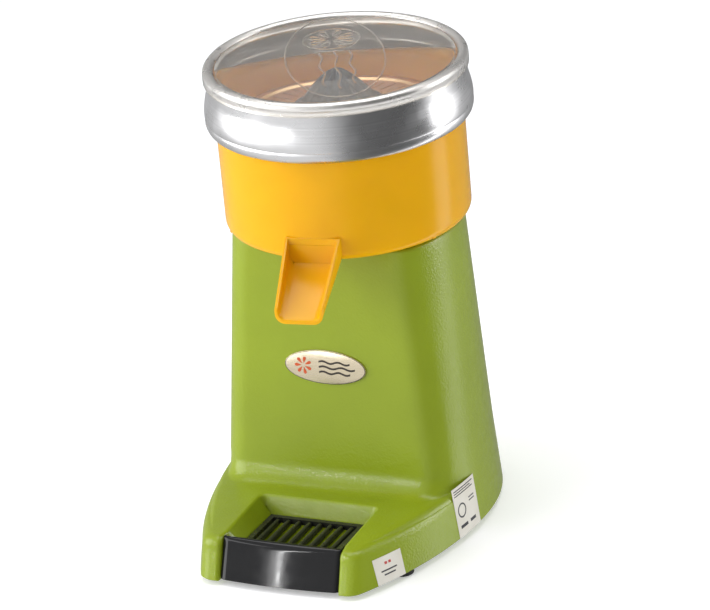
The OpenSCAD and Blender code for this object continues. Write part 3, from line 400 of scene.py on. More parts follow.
def make_finishes():
    return {
        "paint": hammered_green_paint(),
        "bowl": bowl_yellow_gloss(),
        "ring": spun_metal("spun_ring_aluminium", (0.78, 0.78, 0.79), 0.30),
        "lid": clear_lid_plastic(),
        "tray": moulded("tray_gloss_black", (0.010, 0.010, 0.011), 0.09, 60, 0.03, 0.03,
                        Specular_IOR_Level=0.3),
        "grid": moulded("grid_satin_black", (0.021, 0.021, 0.020), 0.30, 300, 0.15, 0.06),
        "black": moulded("fitting_black_plastic", (0.022, 0.022, 0.023), 0.38),
        "rubber": moulded("foot_black_rubber", (0.018, 0.018, 0.018), 0.72, 700, 0.35),
        "badge": brushed("badge_champagne_metal", (0.78, 0.68, 0.50), 0.27, (30, 900, 900), 0.04),
        "badge_dark": moulded("badge_dark_inlay", (0.035, 0.026, 0.018), 0.30),
        "badge_red": moulded("badge_orange_inlay", (0.62, 0.09, 0.015), 0.30),
        "paper": printed_paper(),
        "ink": moulded("label_dark_ink", (0.045, 0.045, 0.05), 0.55),
        "ink_red": moulded("label_red_ink", (0.55, 0.06, 0.05), 0.55),
        "reamer": moulded("reamer_slate_plastic", (0.085, 0.11, 0.15), 0.28, 240, 0.1),
        "steel": spun_metal("strainer_warm_stainless", (0.84, 0.60, 0.33), 0.36, 700, 0.1),
        "shaft": spun_metal("ground_shaft_steel", (0.58, 0.58, 0.58), 0.18, 1400, 0.1),
        "zinc": cast_metal("zinc_plated_steel", (0.52, 0.53, 0.54), 0.34),
        "cast": cast_metal("cast_bracket_aluminium", (0.50, 0.50, 0.51), 0.46),
        "core": laminated_steel(),
        "copper": wound_copper(),
        "red": moulded("switch_red_gloss", (0.52, 0.015, 0.012), 0.18, 200, 0.05),
        "white": moulded("white_fitting_plastic", (0.74, 0.74, 0.72), 0.42),
        "brass": brushed("brass_screw_metal", (0.72, 0.50, 0.18), 0.28, (300, 300, 300)),
        "seal": moulded("seal_brown_rubber", (0.09, 0.04, 0.02), 0.6, 500, 0.3),
    }


# ---- mesh helpers ------------------------------------------------------------------------------

def mesh_piece(name, points, faces, material, sharp=34, outward=True):
    """A piece from points in millimetres, with closed skins turned outwards."""
    mesh = bpy.data.meshes.new(name)
    mesh.from_pydata([[c * MM for c in p] for p in points], [], faces)
    bm = bmesh.new()
    bm.from_mesh(mesh)
    bmesh.ops.remove_doubles(bm, verts=bm.verts, dist=1e-6)
    if outward:
        bmesh.ops.recalc_face_normals(bm, faces=bm.faces)
    bm.to_mesh(mesh)
    bm.free()
    return mesh_object(name, mesh, material, sharp)


def mesh_object(name, mesh, material, sharp=34):
    mesh.materials.clear()
    mesh.materials.append(material)
    for polygon in mesh.polygons:
        polygon.material_index = 0
    smooth_shade(mesh, sharp)
    piece = bpy.data.objects.new(name, mesh)
    bpy.context.scene.collection.objects.link(piece)
    return piece


def smooth_shade(mesh, sharp=34):
    mesh.polygons.foreach_set("use_smooth", [True] * len(mesh.polygons))
    mesh.set_sharp_from_angle(angle=math.radians(sharp))
    mesh.update()


def applied(piece, sharp=34):
    """Turns the live modifiers of a piece into its plain mesh."""
    bpy.context.view_layer.update()
    graph = bpy.context.evaluated_depsgraph_get()
    mesh = bpy.data.meshes.new_from_object(piece.evaluated_get(graph))
    piece.modifiers.clear()
    piece.data = mesh
    smooth_shade(mesh, sharp)
    return piece


def cut(piece, cutters, operation="DIFFERENCE", sharp=34):
    """Cuts or joins closed forms with the exact solver, then drops them."""
    for cutter in cutters:
        step = piece.modifiers.new("cut", "BOOLEAN")
        step.operation, step.solver, step.object = operation, "EXACT", cutter
        applied(piece, sharp)
        bpy.data.objects.remove(cutter)
    return piece


def bevelled(piece, width, segments=2, angle=40, sharp=34):
    step = piece.modifiers.new("edge", "BEVEL")
    step.width, step.segments = width * MM, segments
    step.limit_method, step.angle_limit = "ANGLE", math.radians(angle)
    step.harden_normals = False
    return applied(piece, sharp)


def block(name, low, high, material):
    (x0, y0, z0), (x1, y1, z1) = low, high
    points = [(x, y, z) for z in (z0, z1) for y in (y0, y1) for x in (x0, x1)]
    faces = [(0, 2, 3, 1), (4, 5, 7, 6), (0, 1, 5, 4), (2, 6, 7, 3), (0, 4, 6, 2), (1, 3, 7, 5)]
    return mesh_piece(name, points, faces, material)


def turned_form(name, profile, material, steps=144, centre=(0, AXIS_Y), z=0.0, sharp=34,
                axis="Z"):
    """A closed form turned round an upright line from (radius, height) points."""
    points, faces = [], []
    for i in range(steps):
        a = 2 * math.pi * i / steps
        for r, h in profile:
            if axis == "Z":
                points.append((centre[0] + r * math.cos(a), centre[1] + r * math.sin(a), z + h))
            else:
                points.append((centre[0] + r * math.cos(a), centre[1] + h, z + r * math.sin(a)))
    n = len(profile)
    for i in range(steps):
        for k in range(n):
            near, far = (k + 1) % n, (i + 1) % steps
            if profile[k][0] == 0 and profile[near][0] == 0:
                continue
            quad = (i * n + k, far * n + k, far * n + near, i * n + near)
            if profile[k][0] == 0:
                quad = (quad[0], quad[2], quad[3])
            elif profile[near][0] == 0:
                quad = quad[:3]
            faces.append(quad)
    return mesh_piece(name, points, faces, material, sharp)


def lofted(name, rings, material, sharp=34):
    """A closed skin through rings of equal length, with flat ends."""
    n = len(rings[0])
    points = [p for ring in rings for p in ring]
    faces = [tuple(range(n)), tuple(range(len(points) - 1, len(points) - n - 1, -1))]
    for i in range(len(rings) - 1):
        for k in range(n):
            m = (k + 1) % n
            faces.append((i * n + k, (i + 1) * n + k, (i + 1) * n + m, i * n + m))
    return mesh_piece(name, points, faces, material, sharp)


def smooth_line(points, steps=6):
    """A soft curve through the points, ends kept."""
    line = []
    for i in range(len(points) - 1):
        a, b = points[max(i - 1, 0)], points[i]
        c, d = points[i + 1], points[min(i + 2, len(points) - 1)]
        for s in range(steps):
            t = s / steps
            line.append(tuple(
                0.5 * (2 * q + (r - p) * t + (2 * p - 5 * q + 4 * r - w) * t * t
                       + (3 * q - p - 3 * r + w) * t ** 3)
                for p, q, r, w in zip(a, b, c, d)))
    return line + [tuple(points[-1])]


def arc(centre, r, start, end, steps):
    """Points on an arc in a plane, both ends included."""
    return [(centre[0] + r * math.cos(math.radians(start + (end - start) * i / steps)),
             centre[1] + r * math.sin(math.radians(start + (end - start) * i / steps)))
            for i in range(steps + 1)]


def settle(piece, body, slot, *nodes):
    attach(piece, body)
    if nodes:
        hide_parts(*nodes)
    return piece


# ---- repeated pieces by Geometry Nodes ---------------------------------------------------------

def socket_id(tree, name):
    return next(i.identifier for i in tree.interface.items_tree
                if i.item_type == "SOCKET" and i.in_out == "INPUT" and i.name == name)


def repeat_tree(name, kind):
    """Copies a template along a row or round a circle; ends in plain, painted geometry."""
    tree = bpy.data.node_groups.new(name, "GeometryNodeTree")
    wanted = [("Template", "NodeSocketObject"), ("Count", "NodeSocketInt"),
              ("Step", "NodeSocketVector"), ("Radius", "NodeSocketFloat"),
              ("Material", "NodeSocketMaterial")]
    for label, socket in wanted:
        tree.interface.new_socket(name=label, in_out="INPUT", socket_type=socket)
    tree.interface.new_socket(name="Geometry", in_out="OUTPUT", socket_type="NodeSocketGeometry")
    node = tree.nodes.new
    link = tree.links.new
    given, out = node("NodeGroupInput"), node("NodeGroupOutput")
    item = node("GeometryNodeObjectInfo")
    copy = node("GeometryNodeInstanceOnPoints")
    link(given.outputs["Template"], item.inputs["Object"])
    if kind == "row":
        line = node("GeometryNodeMeshLine")
        link(given.outputs["Count"], line.inputs["Count"])
        link(given.outputs["Step"], line.inputs["Offset"])
    else:
        line = node("GeometryNodeMeshCircle")
        link(given.outputs["Count"], line.inputs["Vertices"])
        link(given.outputs["Radius"], line.inputs["Radius"])
        count = node("GeometryNodeInputIndex")
        share = node("ShaderNodeMath")
        share.operation = "DIVIDE"
        link(count.outputs["Index"], share.inputs[0])
        link(given.outputs["Count"], share.inputs[1])
        angle = node("ShaderNodeMath")
        angle.operation = "MULTIPLY"
        angle.inputs[1].default_value = 2 * math.pi
        link(share.outputs["Value"], angle.inputs[0])
        spin = node("ShaderNodeCombineXYZ")
        link(angle.outputs["Value"], spin.inputs["Z"])
        link(spin.outputs["Vector"], copy.inputs["Rotation"])
    link(line.outputs["Mesh"], copy.inputs["Points"])
    link(item.outputs["Geometry"], copy.inputs["Instance"])
    real, paint = node("GeometryNodeRealizeInstances"), node("GeometryNodeSetMaterial")
    link(copy.outputs["Instances"], real.inputs["Geometry"])
    link(real.outputs["Geometry"], paint.inputs["Geometry"])
    link(given.outputs["Material"], paint.inputs["Material"])
    link(paint.outputs["Geometry"], out.inputs["Geometry"])
    return tree


TREES = {}


def repeated(name, kind, template, material, count, step=(0, 0, 0), radius=0.0, place=None,
             sharp=34):
    """Runs a repeat tree on a carrier, and gives back one plain piece placed in its mesh."""
    if kind not in TREES:
        TREES[kind] = repeat_tree("repeat_in_a_" + kind, kind)
    tree = TREES[kind]
    carrier = bpy.data.objects.new(name, bpy.data.meshes.new(name))
    bpy.context.scene.collection.objects.link(carrier)
    run = carrier.modifiers.new("repeat", "NODES")
    run.node_group = tree
    for label, value in (("Template", template), ("Count", count),
                         ("Step", tuple(c * MM for c in step)), ("Radius", radius * MM),
                         ("Material", material)):
        run[socket_id(tree, label)] = value
    applied(carrier, sharp)
    bpy.data.objects.remove(template)
    if place:
        carrier.data.transform(place)
    return carrier


def merged(name, pieces, material, sharp=34):
    """One piece from several that touch or stand apart."""
    bm = bmesh.new()
    for piece in pieces:
        bm.from_mesh(piece.data)
        bpy.data.objects.remove(piece)
    mesh = bpy.data.meshes.new(name)
    bm.to_mesh(mesh)
    bm.free()
    return mesh_object(name, mesh, material, sharp)


# ---- housing -----------------------------------------------------------------------------------

def lerp(a, b, t):
    return a + (b - a) * t


def share(z, low, high):
    return (z - low) / (high - low)


WAIST_W = lerp(COLUMN_W, BASE_W, 0.71)
WAIST_REAR = lerp(COLUMN_W / 2, BASE_REAR, 0.72)
WAIST_MID, FOOT_MID = -18.0, -25.0
Z_DECK_FRONT = Z_DECK - DECK_FALL
EDGE_Z = Z_DECK_FRONT - EDGE_R
EDGE_Y = -BASE_FRONT + FRONT_SLOPE * (EDGE_Z - Z_BASE) + EDGE_R
DECK_BACK_Y = -(FACE_LOW_Y + COVE_R)


def level_sizes(z):
    """Half width, height of the widest line and rear reach of the housing at a level."""
    if z > Z_COVE:
        t = share(z, Z_COVE, Z_TOP)
        return (lerp(WAIST_W, COLUMN_W, t) / 2, lerp(WAIST_MID, 0, t),
                lerp(WAIST_REAR, COLUMN_W / 2, t))
    t = share(z, Z_BASE, Z_COVE)
    return (lerp(BASE_W, WAIST_W, t) / 2, lerp(FOOT_MID, WAIST_MID, t),
            lerp(BASE_REAR, WAIST_REAR, t))


def level_row(z, front, front_half, corner, s):
    half, mid, rear = level_sizes(z)
    return (z, half - s, mid, rear - s, front, front_half - s, corner - s)


def column_row(z, s=0.0):
    t = share(z, Z_COVE, Z_TOP)
    return level_row(z, -lerp(FACE_LOW_Y, FACE_TOP_Y, t) + s,
                     lerp(FACE_LOW_W, FACE_TOP_W, t) / 2, COLUMN_CORNER, s)


def cove_row(angle, s=0.0):
    a = math.radians(angle)
    return level_row(Z_COVE - (COVE_R + s) * math.sin(a), DECK_BACK_Y + (COVE_R + s) * math.cos(a),
                     FACE_LOW_W / 2 - 3 * (1 - math.cos(a)), COLUMN_CORNER, s)


def deck_row(q, s=0.0):
    return level_row(lerp(Z_DECK, Z_DECK_FRONT, q) - s, lerp(DECK_BACK_Y, EDGE_Y, q),
                     lerp(FACE_LOW_W / 2 - 3, BASE_FRONT_W / 2 - 5, q ** 1.5),
                     lerp(COLUMN_CORNER, FOOT_CORNER, q), s)


def edge_row(angle, s=0.0):
    a = math.radians(angle)
    return level_row(EDGE_Z + (EDGE_R - s) * math.cos(a), EDGE_Y - (EDGE_R - s) * math.sin(a),
                     BASE_FRONT_W / 2 - 5 * (1 - math.sin(a)), FOOT_CORNER, s)


def foot_row(z, s=0.0):
    return level_row(z, -BASE_FRONT + FRONT_SLOPE * (z - Z_BASE) + s, BASE_FRONT_W / 2,
                     FOOT_CORNER, s)


def flank(row):
    """Radius and end angle of the flank arc that meets the front corner."""
    _, half, mid, _, front, front_half, corner = row
    a, b = half - front_half + corner, front + corner - mid
    r = (a * a + b * b - corner * corner) / (2 * (half - front_half))
    return r, math.atan2(b, front_half - corner - half + r)


def flank_x(row, y):
    r = flank(row)[0]
    return row[1] - r + math.sqrt(r * r - (y - row[2]) ** 2)


def outline(row, front_steps=8, corner_steps=9, flank_steps=16, rear_steps=22):
    z, half, mid, rear, front, front_half, corner = row
    r, end = flank(row)
    side = [((front_half - corner) * i / front_steps, front) for i in range(1, front_steps)]
    for i in range(corner_steps + 1):
        a = lerp(-math.pi / 2, end, i / corner_steps)
        side.append((front_half - corner + corner * math.cos(a),
                     front + corner + corner * math.sin(a)))
    for i in range(1, flank_steps + 1):
        a = end * (1 - i / flank_steps)
        side.append((half - r * (1 - math.cos(a)), mid + r * math.sin(a)))
    for i in range(1, rear_steps + 1):
        a = math.pi / 2 * i / rear_steps
        side.append((half * math.cos(a), mid + (rear - mid) * math.sin(a)))
    side[-1] = (0.0, rear)
    points = [(0.0, front)] + side + [(-x, y) for x, y in reversed(side[:-1])]
    return [(x, AXIS_Y + y, z) for x, y in points]


def inset_row(row, s):
    z, half, mid, rear, front, front_half, corner = row
    return (z, half - s, mid, rear - s, front + s, front_half - s, corner)


def housing_skin(material):
    low_chamfer, top_r = 1.2, 3.0
    rows = [inset_row(foot_row(Z_BASE), low_chamfer)]
    rows += [foot_row(lerp(Z_BASE + low_chamfer, EDGE_Z, i / 6)) for i in range(6)]
    rows += [edge_row(90 - 9 * i) for i in range(11)]
    rows += [deck_row(1 - i / 14) for i in range(1, 14)]
    rows += [cove_row(90 - 7.5 * i) for i in range(13)]
    rows += [column_row(lerp(Z_COVE, Z_TOP - top_r, i / 24)) for i in range(1, 25)]
    for i in range(1, 7):
        a = math.radians(15 * i)
        rows.append(inset_row(column_row(Z_TOP - top_r * (1 - math.sin(a))),
                              top_r * (1 - math.cos(a))))
    return lofted("cast_housing", [outline(r) for r in rows], material)


def housing_hollow(material):
    rows = [foot_row(Z_BASE - 1, WALL)]
    rows += [edge_row(a, WALL) for a in (90, 45, 0)]
    rows += [deck_row(0.5, WALL)]
    rows += [cove_row(a, WALL) for a in (90, 45, 0)]
    rows += [column_row(Z_TOP - TOP_T, WALL)]
    hollow = lofted("hollow", [outline(r, 3, 4, 5, 7) for r in rows], material)
    wide, deep = TRAY_FRONT_W / 2 + 3.6, TRAY_W / 2 + 12.6
    panel_wall, pocket_wall = AXIS_Y + PANEL_BACK + 3.6, AXIS_Y + TRAY_BACK + 8.6
    walls = [block("w", (-wide, -BASE_FRONT, 0), (wide, panel_wall, Z_DECK), material),
             block("w", (-deep, -BASE_FRONT, 0), (deep, pocket_wall, Z_DECK), material)]
    return cut(hollow, walls)


def deck_profile():
    """Side line of the housing from the pocket's rear, over the front edge and down the front.
    Each point is (y, z) with its outward direction."""
    line = []
    slope = math.atan2(DECK_FALL, DECK_BACK_Y - EDGE_Y)
    for i in range(25):
        q = i / 24
        line.append((lerp(DECK_BACK_Y, EDGE_Y, q), lerp(Z_DECK, Z_DECK_FRONT, q),
                     -math.sin(slope), math.cos(slope)))
    for i in range(1, 11):
        a = math.radians(9 * i)
        line.append((EDGE_Y - EDGE_R * math.sin(a), EDGE_Z + EDGE_R * math.cos(a),
                     -math.sin(a), math.cos(a)))
    face = math.atan(FRONT_SLOPE)
    for i in range(1, 8):
        z = lerp(EDGE_Z, Z_BASE - 6, i / 7)
        line.append((-BASE_FRONT + FRONT_SLOPE * (z - Z_BASE), z, -math.cos(face), math.sin(face)))
    return line


def pocket_mouth(material):
    """Cutter for the tray's place: flared walls whose lips roll softly into the deck and front."""
    line = deck_profile()
    lip, half, corner = 3.2, TRAY_FRONT_W / 2 + TRAY_GAP, 5.0
    back_y = TRAY_BACK + TRAY_GAP + 5.0
    lean_side = math.radians(34)
    lean_back = math.radians(20)

    def on_line(y):
        """Point and direction on the deck at a distance from the shaft."""
        for (y0, z0, ny, nz), (y1, z1, my, mz) in zip(line, line[1:]):
            if y1 <= y <= y0:
                t = (y0 - y) / (y0 - y1)
                return lerp(y0, y1, t), lerp(z0, z1, t), lerp(ny, my, t), lerp(nz, mz, t)
        return line[0]

    # Half outline: back centre, back corner, then along the side to below the front
    path = [(half * i / 6 * (half - corner) / half, back_y, 0.0, 1.0, lean_back) for i in range(7)]
    for i in range(1, 7):
        a = math.radians(15 * i)
        path.append((half - corner + corner * math.sin(a), back_y - corner * (1 - math.cos(a)),
                     math.sin(a), math.cos(a), lerp(lean_back, lean_side, i / 6)))
    for y, z, ny, nz in line:
        if y < back_y - corner - 2:
            t = min(1.0, max(0.0, share(y, PANEL_BACK + 6, PANEL_BACK - 1)))
            path.append((half, (y, z, ny, nz), 1.0, 0.0, lerp(lean_side, 0.0, t)))
    levels = [[] for _ in range(11)]
    for x, where, out_x, out_y, lean in path:
        y, z, ny, nz = where if isinstance(where, tuple) else on_line(where)
        turn = math.pi / 2 - lean
        tangent = lip * math.tan(turn / 2)
        spots = [(tangent, -1.5), (tangent, -0.02)]
        for k in range(7):
            a = turn * k / 6
            spots.append((tangent - lip * math.sin(a), lip * (1 - math.cos(a))))
        last = spots[-1]
        for extra in (6.0, 15.0):
            spots.append((last[0] - extra * math.tan(lean), last[1] + extra))
        for level, (away, depth) in zip(levels, spots):
            level.append((x + out_x * away, y + out_y * away - ny * depth, z - nz * depth))
    rings = []
    for level in levels:
        rings.append([(x, AXIS_Y + y, z) for x, y, z in level]
                     + [(-x, AXIS_Y + y, z) for x, y, z in reversed(level[1:])])
    n, m = len(path), len(rings[0])
    points = [p for ring in rings for p in ring]
    faces = []
    for i in range(len(rings) - 1):
        for k in range(m):
            j = (k + 1) % m
            faces.append((i * m + k, (i + 1) * m + k, (i + 1) * m + j, i * m + j))
    for base in (0, (len(rings) - 1) * m):
        faces.append((base, base + 1, base + m - 1))
        for k in range(1, n - 1):
            faces.append((base + k, base + k + 1, base + m - k - 1, base + m - k))
    return mesh_piece("mouth", points, faces, material)


def straight_pocket(material):
    half = TRAY_W / 2 + TRAY_GAP
    back = AXIS_Y + TRAY_BACK + TRAY_GAP
    front = AXIS_Y - BASE_FRONT - 20
    return block("pocket", (-half, front, Z_BASE + 2.5), (half, back, GRID_TOP + 1.5), material)


def panel_recess(material):
    half = TRAY_FRONT_W / 2 + TRAY_GAP
    return block("recess", (-half, AXIS_Y - BASE_FRONT - 20, Z_BASE - 3),
                 (half, AXIS_Y + PANEL_BACK + TRAY_GAP, GRID_TOP), material)


def drill(x, y, z0, z1, r, material, steps=32):
    return turned_form("hole", [(0, 0), (r, 0), (r, z1 - z0), (0, z1 - z0)], material, steps,
                       (x, y), z0)


SWITCH_Z = 84.0
GLAND_Z, GLAND_FLAT = 26.0, BASE_REAR - 18.0


def build_housing(finish):
    paint = finish["paint"]
    body = housing_skin(paint)
    rear = level_sizes(SWITCH_Z)[2]
    flat = rear - 4.5
    cutters = [housing_hollow(paint), straight_pocket(paint), panel_recess(paint),
               pocket_mouth(paint), drill(0, AXIS_Y, Z_TOP - TOP_T - 1, Z_TOP + 2, 12.5, paint, 64)]
    for i in range(4):
        a = math.radians(45 + 90 * i)
        x, y = 33 * math.cos(a), AXIS_Y + 33 * math.sin(a)
        cutters.append(drill(x, y, Z_TOP - 3.3, Z_TOP + 3, 5.0, paint))
        cutters.append(drill(x, y, Z_TOP - TOP_T - 2, Z_TOP - 2, 2.5, paint))
    cut(body, cutters)
    pads = [block("pad", (-20, AXIS_Y + flat - 9, SWITCH_Z - 16.5),
                  (20, AXIS_Y + flat, SWITCH_Z + 16.5), paint),
            block("pad", (-15, AXIS_Y + GLAND_FLAT - 9, GLAND_Z - 15),
                  (15, AXIS_Y + GLAND_FLAT, GLAND_Z + 15), paint)]
    holes = [block("flat", (-16.5, AXIS_Y + flat, SWITCH_Z - 13),
                   (16.5, AXIS_Y + flat + 40, SWITCH_Z + 13), paint),
             block("flat", (-14, AXIS_Y + flat - 30, SWITCH_Z - 10.5),
                   (14, AXIS_Y + flat + 10, SWITCH_Z + 10.5), paint),
             block("flat", (-13, AXIS_Y + GLAND_FLAT, GLAND_Z - 13),
                   (13, AXIS_Y + GLAND_FLAT + 40, GLAND_Z + 13), paint),
             turned_form("hole", [(0, 0), (8.2, 0), (8.2, 32), (0, 32)], paint, 48,
                         (0, AXIS_Y + GLAND_FLAT - 30), GLAND_Z, axis="Y")]
    cut(body, pads, "UNION")
    cut(body, holes)
    return settle(body, "base", "housing_paint", "housing")


# ---- bowl and spout ----------------------------------------------------------------------------

def channel(name, reaches, half, bottom, top, corner, material, steps=6):
    """A U-shaped bar that runs forward along -Y; each argument but the corner follows the reach."""
    rings = []
    for r in reaches:
        w, low, high = half(r), bottom(r), top(r)
        k = min(corner, (high - low) * 0.8)
        right = arc((w - k, low + k), k, -90, 0, steps) + [(w, high)]
        left = [(-x, z) for x, z in reversed(right)]
        rings.append([(x, -r, z) for x, z in right + left])
    return lofted(name, rings, material)


def spout_forms(material):
    start, tip = BOWL_R - BOWL_DRAFT, BOWL_R - BOWL_DRAFT + SPOUT_L
    open_top = BOWL_FLOOR + SPOUT_DEPTH
    bend = start - 4.4

    def half(r):
        return lerp(SPOUT_W, SPOUT_TIP_W, min(1.0, max(0.0, (r - start) / SPOUT_L))) / 2

    def inner_floor(r):
        """Height of the channel's floor, level in the bowl and then falling."""
        return BOWL_FLOOR - max(0.0, r - bend) * SPOUT_DROP / (tip - bend)

    def wall_top(r):
        rise, end = open_top + 5.0, BOWL_FLOOR + SPOUT_TIP_DEPTH - SPOUT_DROP
        return lerp(rise, end, min(1.0, max(0.0, (r - start) / SPOUT_L)))

    reaches = [start - 14, bend - 2] + [lerp(bend, tip, i / 12) for i in range(13)]
    outer = channel("spout", reaches, half, lambda r: inner_floor(r) - BOWL_FLOOR, wall_top, 7.5,
                    material)
    runs = [start - 16, bend - 2] + [lerp(bend, start + 1, i / 3) for i in range(4)]
    throat = channel("throat", runs, lambda r: half(r) - BOWL_T, inner_floor,
                     lambda r: open_top, 5.5, material)
    runs = [lerp(start + 0.5, tip + 2, i / 10) for i in range(11)]
    trough = channel("trough", runs, lambda r: half(r) - BOWL_T, inner_floor,
                     lambda r: open_top + 30, 5.5, material)
    return outer, throat, trough


def build_bowl(finish):
    gloss = finish["bowl"]
    low = BOWL_R - BOWL_DRAFT
    collar_in, collar_out, collar_h, lip = 13.0, 15.5, 36.0, 1.8
    inner = BOWL_FILLET - BOWL_T
    foot = arc((low - BOWL_FILLET, BOWL_FILLET), BOWL_FILLET, -90, 0, 8)
    floor = arc((low - BOWL_T - inner, BOWL_FLOOR + inner), inner, 0, -90, 8)
    wall = [(lerp(low, BOWL_R, i / 6), lerp(BOWL_FILLET, BOWL_H - 3.4, i / 6)) for i in range(1, 7)]
    profile = ([(collar_in, 0)] + foot + wall
               + [(BOWL_R + lip - 0.5, BOWL_H - 2.2), (BOWL_R + lip, BOWL_H - 1.5),
                  (BOWL_R + lip, BOWL_H - 0.6), (BOWL_R + lip - 0.6, BOWL_H),
                  (BOWL_R - BOWL_T + 0.6, BOWL_H), (BOWL_R - BOWL_T, BOWL_H - 0.6)]
               + floor + [(collar_out + 1.5, BOWL_FLOOR), (collar_out, BOWL_FLOOR + 1.5),
                          (collar_out, collar_h - 0.6), (collar_out - 0.6, collar_h),
                          (collar_in, collar_h)])
    bowl = turned_form("juice_bowl", profile, gloss, 192, (0, 0))
    outer, throat, trough = spout_forms(gloss)
    core = turned_form("core", [(0, BOWL_FLOOR), (low - BOWL_T - 0.02, BOWL_FLOOR),
                                (low - BOWL_T - 0.02, 60), (0, 60)], gloss, 192, (0, 0))
    cut(outer, [core])
    cut(outer, [trough])
    bevelled(outer, 0.55, 2, 50)
    cut(bowl, [outer], "UNION")
    ribs = []
    for i in range(6):
        rib = block("rib", (low - BOWL_T - 5, -1.5, BOWL_FLOOR - 0.5), (low - 1, 1.5, 50), gloss)
        rib.data.transform(Matrix.Rotation(math.radians(60 * (i + 0.5)), 4, "Z"))
        ribs.append(rib)
    cut(bowl, ribs, "UNION")
    cut(bowl, [throat])
    turn = Matrix.Rotation(math.radians(SPOUT_TURN), 4, "Z")
    bowl.data.transform(Matrix.Translation((0, AXIS_Y * MM, Z_TOP * MM)) @ turn)
    return settle(bowl, "bowl", "bowl_plastic", "bowl")


# ---- ring, lid and reamer ----------------------------------------------------------------------

BEAD_IN, BEAD_W = BOWL_R - 0.8, 5.5
BEAD_C = BEAD_IN + BEAD_W / 2
BEAD_Z = BEAD_H - BEAD_W / 2


def inward(line, depth):
    """The line moved to its left by a depth, for the inner side of a sheet."""
    moved = []
    for i, (r, z) in enumerate(line):
        (r0, z0), (r1, z1) = line[max(i - 1, 0)], line[min(i + 1, len(line) - 1)]
        size = math.hypot(r1 - r0, z1 - z0) or 1
        moved.append((r + (z1 - z0) / size * depth, z - (r1 - r0) / size * depth))
    return moved


def build_ring(finish):
    """Spun sheet: rolled bead, neck, swelling, crease and a turned-in hem."""
    bead = arc((BEAD_C, BEAD_Z), BEAD_W / 2, 180, -30, 26)
    side = smooth_line([(94.75, 0.2), (94.15, -2.4), (94.02, -6.5), (94.1, -10.5), (94.75, -14.5),
                        (95.85, -19.2), (96.6, -23.6), (96.82, -27.2), (96.62, -29.4),
                        (96.05, -30.4)], 5)
    hem = smooth_line([(96.05, -30.4), (96.45, -31.1), (96.72, -32.4), (96.5, -34.2),
                       (95.75, -36.1), (94.7, -37.35)], 5)
    outer = [(BEAD_IN, 0.2)] + bead + side[:-1] + hem
    inner = inward(outer, -RING_T)
    ring = turned_form("spun_splash_ring", outer + list(reversed(inner)), finish["ring"], 200,
                       z=Z_RIM, sharp=40)
    return settle(ring, "ring", "spun_aluminium", "splash_ring")


def emblem_place(u, v, z):
    """A point of the lid's oval, along its length and width, at a height above the rim plane."""
    a = math.radians(28.8)
    x, y = v * math.cos(a) - u * math.sin(a), v * math.sin(a) + u * math.cos(a)
    return (x - 1.0, AXIS_Y + y + 2.5, Z_RIM + z)


def relief(name, outline_points, width, z, height, material, closed=True):
    """A low ridge with a rounded back along a line on the lid's top."""
    n = len(outline_points)
    section = [(-0.5, 0), (-0.42, 0.55), (-0.2, 0.92), (0.2, 0.92), (0.42, 0.55), (0.5, 0)]
    section = [(c * width, h * height) for c, h in section]
    section += [(0.5 * width, -0.3), (-0.5 * width, -0.3)]
    points, faces = [], []
    for i, (u, v) in enumerate(outline_points):
        (u0, v0) = outline_points[(i - 1) % n if closed else max(i - 1, 0)]
        (u1, v1) = outline_points[(i + 1) % n if closed else min(i + 1, n - 1)]
        size = math.hypot(u1 - u0, v1 - v0) or 1
        side_u, side_v = -(v1 - v0) / size, (u1 - u0) / size
        for c, h in section:
            points.append(emblem_place(u + side_u * c, v + side_v * c, z + h))
    m = len(section)
    for i in range(n if closed else n - 1):
        j = (i + 1) % n
        for k in range(m):
            q = (k + 1) % m
            faces.append((i * m + k, j * m + k, j * m + q, i * m + q))
    if not closed:
        faces += [tuple(range(m)), tuple(range((n - 1) * m, n * m))]
    return mesh_piece(name, points, faces, material)


def slice_lines(centre, radius, segments=8):
    """Outlines of a cut citrus: the rind and its rounded segments."""
    cu, cv = centre
    turns = [2 * math.pi * i / 60 for i in range(60)]
    rind = [(cu + radius * math.cos(a), cv + radius * math.sin(a)) for a in turns]
    lines = [rind]
    for s in range(segments):
        mid = 2 * math.pi * (s + 0.5) / segments
        half = math.pi / segments * 0.74
        line = []
        for i in range(24):
            t = 2 * math.pi * i / 24
            r = radius * (0.50 + 0.33 * math.cos(t))
            a = mid + half * math.sin(t) * (0.35 + 0.65 * r / radius)
            line.append((cu + r * math.cos(a), cv + r * math.sin(a)))
        lines.append(line)
    return lines


